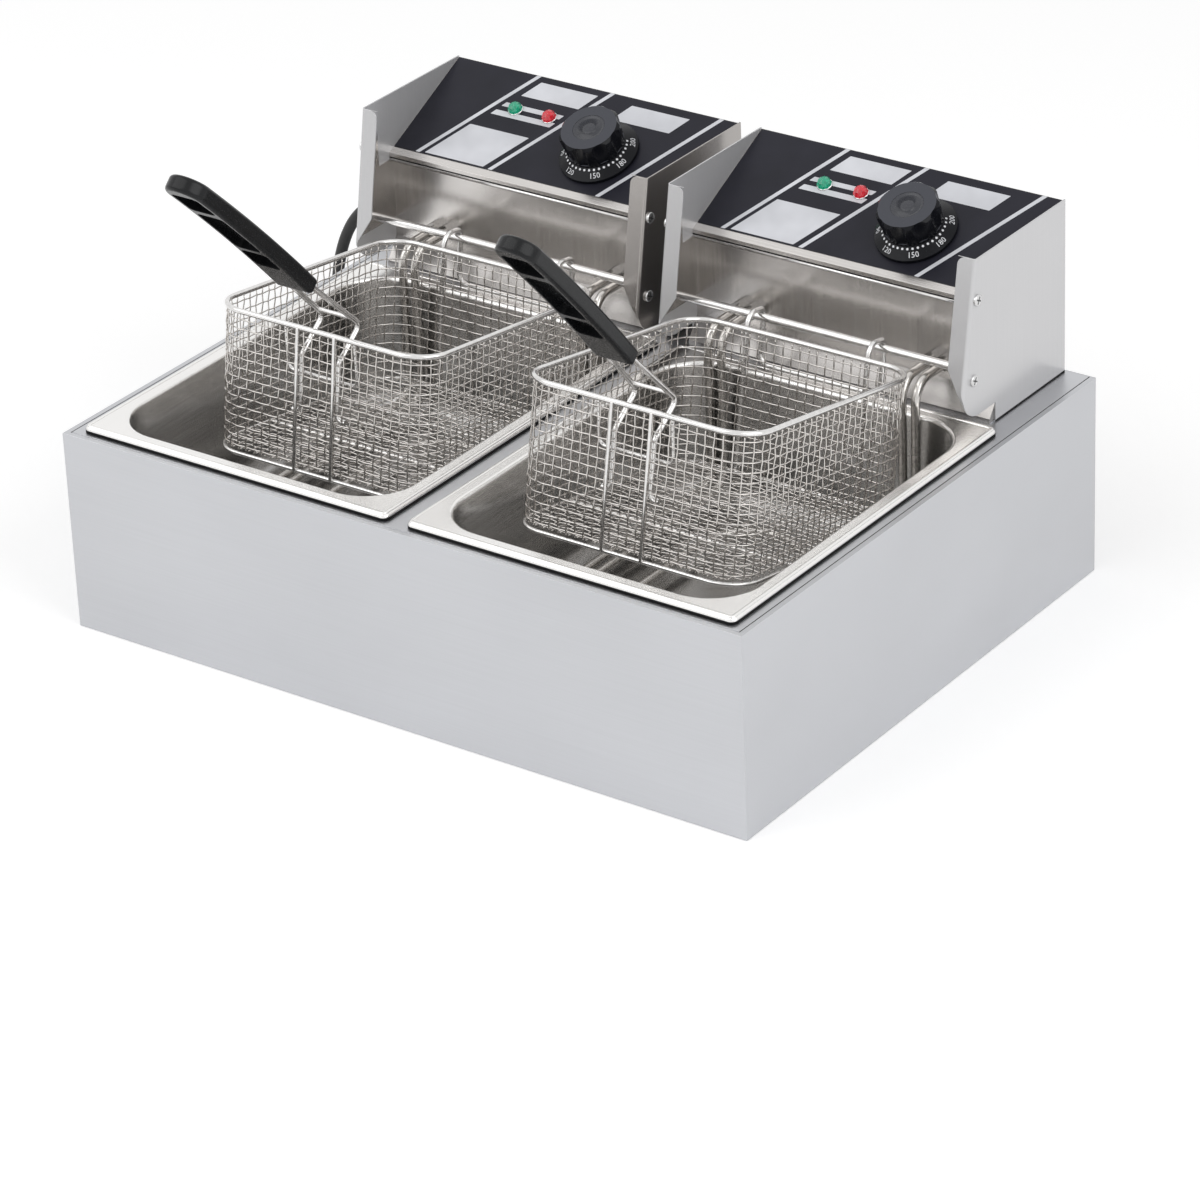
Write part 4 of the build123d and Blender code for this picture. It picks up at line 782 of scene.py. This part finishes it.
def cord_line():
    """The cord's smooth centreline in metres, read from its spline."""
    turns = 2 * COIL_SPIRAL_TURNS + COIL_CLIMB_TURNS
    count = round(turns * COIL_POINTS_A_TURN)
    points = [np.array(p, float) for p in CORD_ROUTE_MM]
    points += [coil_point_mm(turns * k / count) for k in range(1, count + 1)]
    heading = coil_point_mm(turns) - coil_point_mm(turns - COIL_END_STEP)
    points.append(points[-1] + heading / np.linalg.norm(heading) * COIL_TAIL)
    curve = bpy.data.curves.new("cord_line", "CURVE")
    curve.dimensions = "3D"
    curve.resolution_u = 8
    spline = curve.splines.new("NURBS")
    spline.points.add(len(points) - 1)
    for control, p in zip(spline.points, points):
        control.co = (*(p / 1000), 1)
    spline.order_u = 3
    spline.use_endpoint_u = True
    verts, _ = made_mesh(curve)
    return np.array(verts)


def add_cord():
    """The cord in two lengths that meet behind the cabinet's corner."""
    line = cord_line()
    so_far = np.concatenate(([0], np.cumsum(np.linalg.norm(np.diff(line, axis=0), axis=1))))
    split = int(np.searchsorted(so_far, CORD_SPLIT))
    upper, lower = line[: split + 1], line[split:]
    top = piece("mains_cord_upper", *tube(upper, CORD_DIAMETER / 2, CORD_SIDES), CORD)
    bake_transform(top)
    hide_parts("power_cord")
    rest = piece("mains_cord_lower", *tube(lower, CORD_DIAMETER / 2, CORD_SIDES), CORD)
    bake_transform(rest)
    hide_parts("cord_coil")
    paint("cord_plug", PLUG, BLADE)
    _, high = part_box("cord_plug")
    for face in nodes["cord_plug"].data.polygons:
        if face.center.x > high.x - BLADE_LENGTH:
            face.material_index = 1


# Screw recesses, drawn as dark crosses of painted shade

CROSS_ARM, CROSS_HALF = 0.0028, 0.0005
CROSS_COS, CROSS_SIN = 0.9, 0.44


def add_recesses():
    """A dark cross in each screw's head, painted shade for its cross recess."""
    arm, half = CROSS_ARM, CROSS_HALF
    cross = [(-arm, -half), (-half, -half), (-half, -arm), (half, -arm), (half, -half), (arm, -half),
             (arm, half), (half, half), (half, arm), (-half, arm), (-half, half), (-arm, half)]
    turned = [(a * CROSS_COS + b * CROSS_SIN, b * CROSS_COS - a * CROSS_SIN) for a, b in cross]
    around = tuple(range(len(cross)))
    for side, sign in SIDES.items():
        parts = []
        for outwards in (-1, 1):
            x = sign * HEAD_X + outwards * CHEEK_SCREW_TOP
            for y, z in CHEEK_SCREWS:
                verts = [(x, y + a, z + b) for a, b in turned]
                parts.append((verts, [around[::outwards]]))
        # Painted shade: the crosses stand for the shade in the screws' recesses.
        made = piece(f"{side}_cheek_screw_recesses", *joined(parts), DARK_TIE_AND_RECESS_SHADE, smooth=False)
        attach(made, f"{side}_head")


# Dark strips painted in as shade under the rims, the cheeks' feet and the panel's lip, and dark joints
# between the sheets

STRIP_PROUD, STRIP_INSIDE = 0.00012, 0.0004
FLANGE_SHADE_HEIGHT, FOOT_SHADE_HEIGHT = 0.0021, 0.0013
FLANGE_TOP = 0.157
STRIP_AND_SEAM_CLEAR, SEAM_SUNK = 0.00002, 0.0001
RIM_BEAD = [(0.0012, -0.0009), (0.0014, 0.0001), (0.0019, 0.0005), (0.0027, 0.0006), (0.0035, 0.0005),
            (0.0040, 0.0001), (0.0042, -0.0004)]


def rounded_loop(width, depth, radius, steps=6):
    """Points round a rectangle with round corners."""
    loop = []
    for k, (sx, sy) in enumerate(((1, 1), (-1, 1), (-1, -1), (1, -1))):
        for step in range(steps + 1):
            angle = (k + step / steps) * pi / 2
            x = sx * (width / 2 - radius) + radius * cos(angle)
            y = sy * (depth / 2 - radius) + radius * sin(angle)
            loop.append((x, y))
    return loop


def flange_loop(inset):
    """Points round the tank's flange, that far in from its edge."""
    return rounded_loop(FLANGE_WIDTH - 2 * inset, FLANGE_DEPTH - 2 * inset, FLANGE_CORNER - inset)


def band(profile):
    """A closed ring round the flange through (inset, height) points."""
    loops = [flange_loop(inset) for inset, _ in profile]
    count = len(loops[0])
    verts = [(x, y, z) for loop, (_, z) in zip(loops, profile) for x, y in loop]
    faces = []
    for row in range(len(profile)):
        a, b = row * count, (row + 1) % len(profile) * count
        for k in range(count):
            n = (k + 1) % count
            faces.append((a + k, a + n, b + n, b + k))
    return verts, faces


def block(low, high):
    """A closed box between two corners."""
    (x1, y1, z1), (x2, y2, z2) = low, high
    verts = [(x, y, z) for z in (z1, z2) for x, y in ((x1, y1), (x2, y1), (x2, y2), (x1, y2))]
    faces = [(3, 2, 1, 0), (4, 5, 6, 7), (0, 1, 5, 4), (1, 2, 6, 5), (2, 3, 7, 6), (3, 0, 4, 7)]
    return verts, faces


def add_shade_strips_and_seams():
    """Dark strips painted in as shade under the rims and the cheeks' feet, a bead on each rim, and the
    deck's two filled seams.
    """
    low = DECK_Z + STRIP_AND_SEAM_CLEAR
    high = DECK_Z + FLANGE_SHADE_HEIGHT
    rim_shade_profile = [(-STRIP_PROUD, low), (-STRIP_PROUD, high), (STRIP_INSIDE, high), (STRIP_INSIDE, low)]
    bead_profile = [(inset, FLANGE_TOP + rise) for inset, rise in RIM_BEAD]
    for side, sign in SIDES.items():
        # Painted shade: a near-black strip under the rim's edge.
        rim_strip = piece(f"{side}_rim_shade_strip", *band(rim_shade_profile), SHADE_AND_JOINT, smooth=False)
        rim_strip.location = (sign * TANK_X, TANK_Y, 0)
        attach(rim_strip, f"{side}_tank")
        bead = piece(f"{side}_rim_bead", *band(bead_profile), TANK_WITH_PAINTED_SHADE)
        bead.location = (sign * TANK_X, TANK_Y, 0)
        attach(bead, f"{side}_tank")
        # Painted shade: near-black strips along the cheeks' feet.
        feet = []
        for outwards in (-1, 1):
            face = sign * HEAD_X + outwards * CHEEK_X
            x1, x2 = sorted((face + outwards * STRIP_PROUD, face - outwards * STRIP_INSIDE))
            feet.append(block((x1, CHEEK_FOOT_FRONT, low), (x2, CHEEK_FOOT_REAR, low + FOOT_SHADE_HEIGHT)))
        foot = piece(f"{side}_foot_shade_strip", *joined(feet), SHADE_AND_JOINT, smooth=False)
        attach(foot, f"{side}_head")
    bottom, top = DECK_Z - SEAM_DEPTH + STRIP_AND_SEAM_CLEAR, DECK_Z - SEAM_SUNK
    near, far = SEAM_X - SEAM_WIDTH + STRIP_AND_SEAM_CLEAR, SEAM_X - STRIP_AND_SEAM_CLEAR
    front = SEAM_FRONT + STRIP_AND_SEAM_CLEAR
    seams = [block((x1, front, bottom), (x2, SEAM_REAR, top)) for x1, x2 in ((-far, -near), (near, far))]
    seam = piece("deck_seam", *joined(seams), SHADE_AND_JOINT, smooth=False)
    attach(seam, "cabinet")


LIP_GAP_LOW, LIP_GAP_HIGH = 0.23492, 0.23608
LIP_GAP_SET, LIP_GAP_DEPTH = 0.00005, 0.0009
LIP_SPAN = 0.1254
LIP_BEAD_RADIUS, LIP_BEAD_SET, LIP_BEAD_SIDES = 0.00125, 0.00065, 16


def add_lip_line(side):
    """A dark strip painted in as the shade of the gap under the panel's lip, and the rounded bead below
    it.
    """
    middle = SIDES[side] * HEAD_X
    low, high = middle - LIP_SPAN, middle + LIP_SPAN
    gap = block((low, LIP_Y + LIP_GAP_SET, LIP_GAP_LOW), (high, LIP_Y + LIP_GAP_DEPTH, LIP_GAP_HIGH))
    # Painted shade: a near-black strip in the gap under the lip.
    line = piece(f"{side}_lip_gap_shade", *gap, SHADE_AND_JOINT, smooth=False)
    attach(line, f"{side}_head")
    y, z = LIP_Y + LIP_BEAD_SET, LIP_GAP_LOW - LIP_BEAD_RADIUS
    rod = tube([(low, y, z), (high, y, z)], LIP_BEAD_RADIUS, LIP_BEAD_SIDES)
    bead = piece(f"{side}_lip_bead", *rod, WIRE)
    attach(bead, f"{side}_head")


# Stage and light

STAGE_HALF, STAGE_DROP = 8.0, 0.0004
PAPER_COLOR, PAPER_ROUGHNESS = (0.93, 0.93, 0.93), 0.9
FLOOR_LIFT = 0.21
WORLD_LIGHT, WORLD_SEEN = 0.62, 1.0
LIGHTS_AIM = (0, 0, 0.1)


def seen_ray(tree, links):
    """One where a camera, glossy or transmission ray looks, and nought for the rays that carry light."""
    path = tree.new("ShaderNodeLightPath")
    either = tree.new("ShaderNodeMath")
    either.operation = "MAXIMUM"
    links.new(path.outputs["Is Camera Ray"], either.inputs[0])
    links.new(path.outputs["Is Glossy Ray"], either.inputs[1])
    seen = tree.new("ShaderNodeMath")
    seen.operation = "MAXIMUM"
    links.new(either.outputs[0], seen.inputs[0])
    links.new(path.outputs["Is Transmission Ray"], seen.inputs[1])
    return seen.outputs[0]


def make_stage():
    """White paper on the floor and a white surround."""
    half = STAGE_HALF
    verts = [(-half, -half, 0), (half, -half, 0), (half, half, 0), (-half, half, 0)]
    made, tree, links, shader = material("floor_paper", PAPER_COLOR, PAPER_ROUGHNESS)
    shader.inputs["Specular IOR Level"].default_value = 0.0
    shader.inputs["Emission Color"].default_value = (1, 1, 1, 1)
    share = tree.new("ShaderNodeMath")
    share.operation = "MULTIPLY"
    share.inputs[1].default_value = FLOOR_LIFT
    links.new(seen_ray(tree, links), share.inputs[0])
    links.new(share.outputs[0], shader.inputs["Emission Strength"])
    floor = piece("floor", verts, [(0, 1, 2, 3)], made, smooth=False)
    floor.location.z = -STAGE_DROP
    world = bpy.data.worlds.new("studio")
    scene.world = world
    world.use_nodes = True
    tree, links = world.node_tree.nodes, world.node_tree.links
    background = tree["Background"]
    background.inputs["Color"].default_value = (1, 1, 1, 1)
    level = tree.new("ShaderNodeMapRange")
    level.inputs["To Min"].default_value = WORLD_LIGHT
    level.inputs["To Max"].default_value = WORLD_SEEN
    links.new(seen_ray(tree, links), level.inputs["Value"])
    links.new(level.outputs["Result"], background.inputs["Strength"])


def area_light(name, place, size, power):
    """A soft rectangular lamp aimed at the middle of the object."""
    data = bpy.data.lights.new(name, "AREA")
    data.shape = "RECTANGLE"
    data.size, data.size_y = size
    data.energy = power
    made = bpy.data.objects.new(name, data)
    made.location = place
    made.rotation_euler = (Vector(LIGHTS_AIM) - Vector(place)).to_track_quat("-Z", "Y").to_euler()
    scene.collection.objects.link(made)


def make_lights():
    """A key lamp from the front left and a weaker fill from the right."""
    area_light("key", place=(-1.4, -1.8, 2.6), size=(3.2, 3.0), power=35)
    area_light("fill", place=(2.6, -0.4, 1.9), size=(2.4, 2.4), power=30)


make_camera()
paint_all()
for each_side in SIDES:
    add_panel_print(each_side)
    add_lamp(each_side, "green", GREEN)
    add_lamp(each_side, "red", RED)
    add_dial(each_side)
    add_lip_line(each_side)
add_baskets()
add_cord()
add_recesses()
add_shade_strips_and_seams()
make_stage()
make_lights()
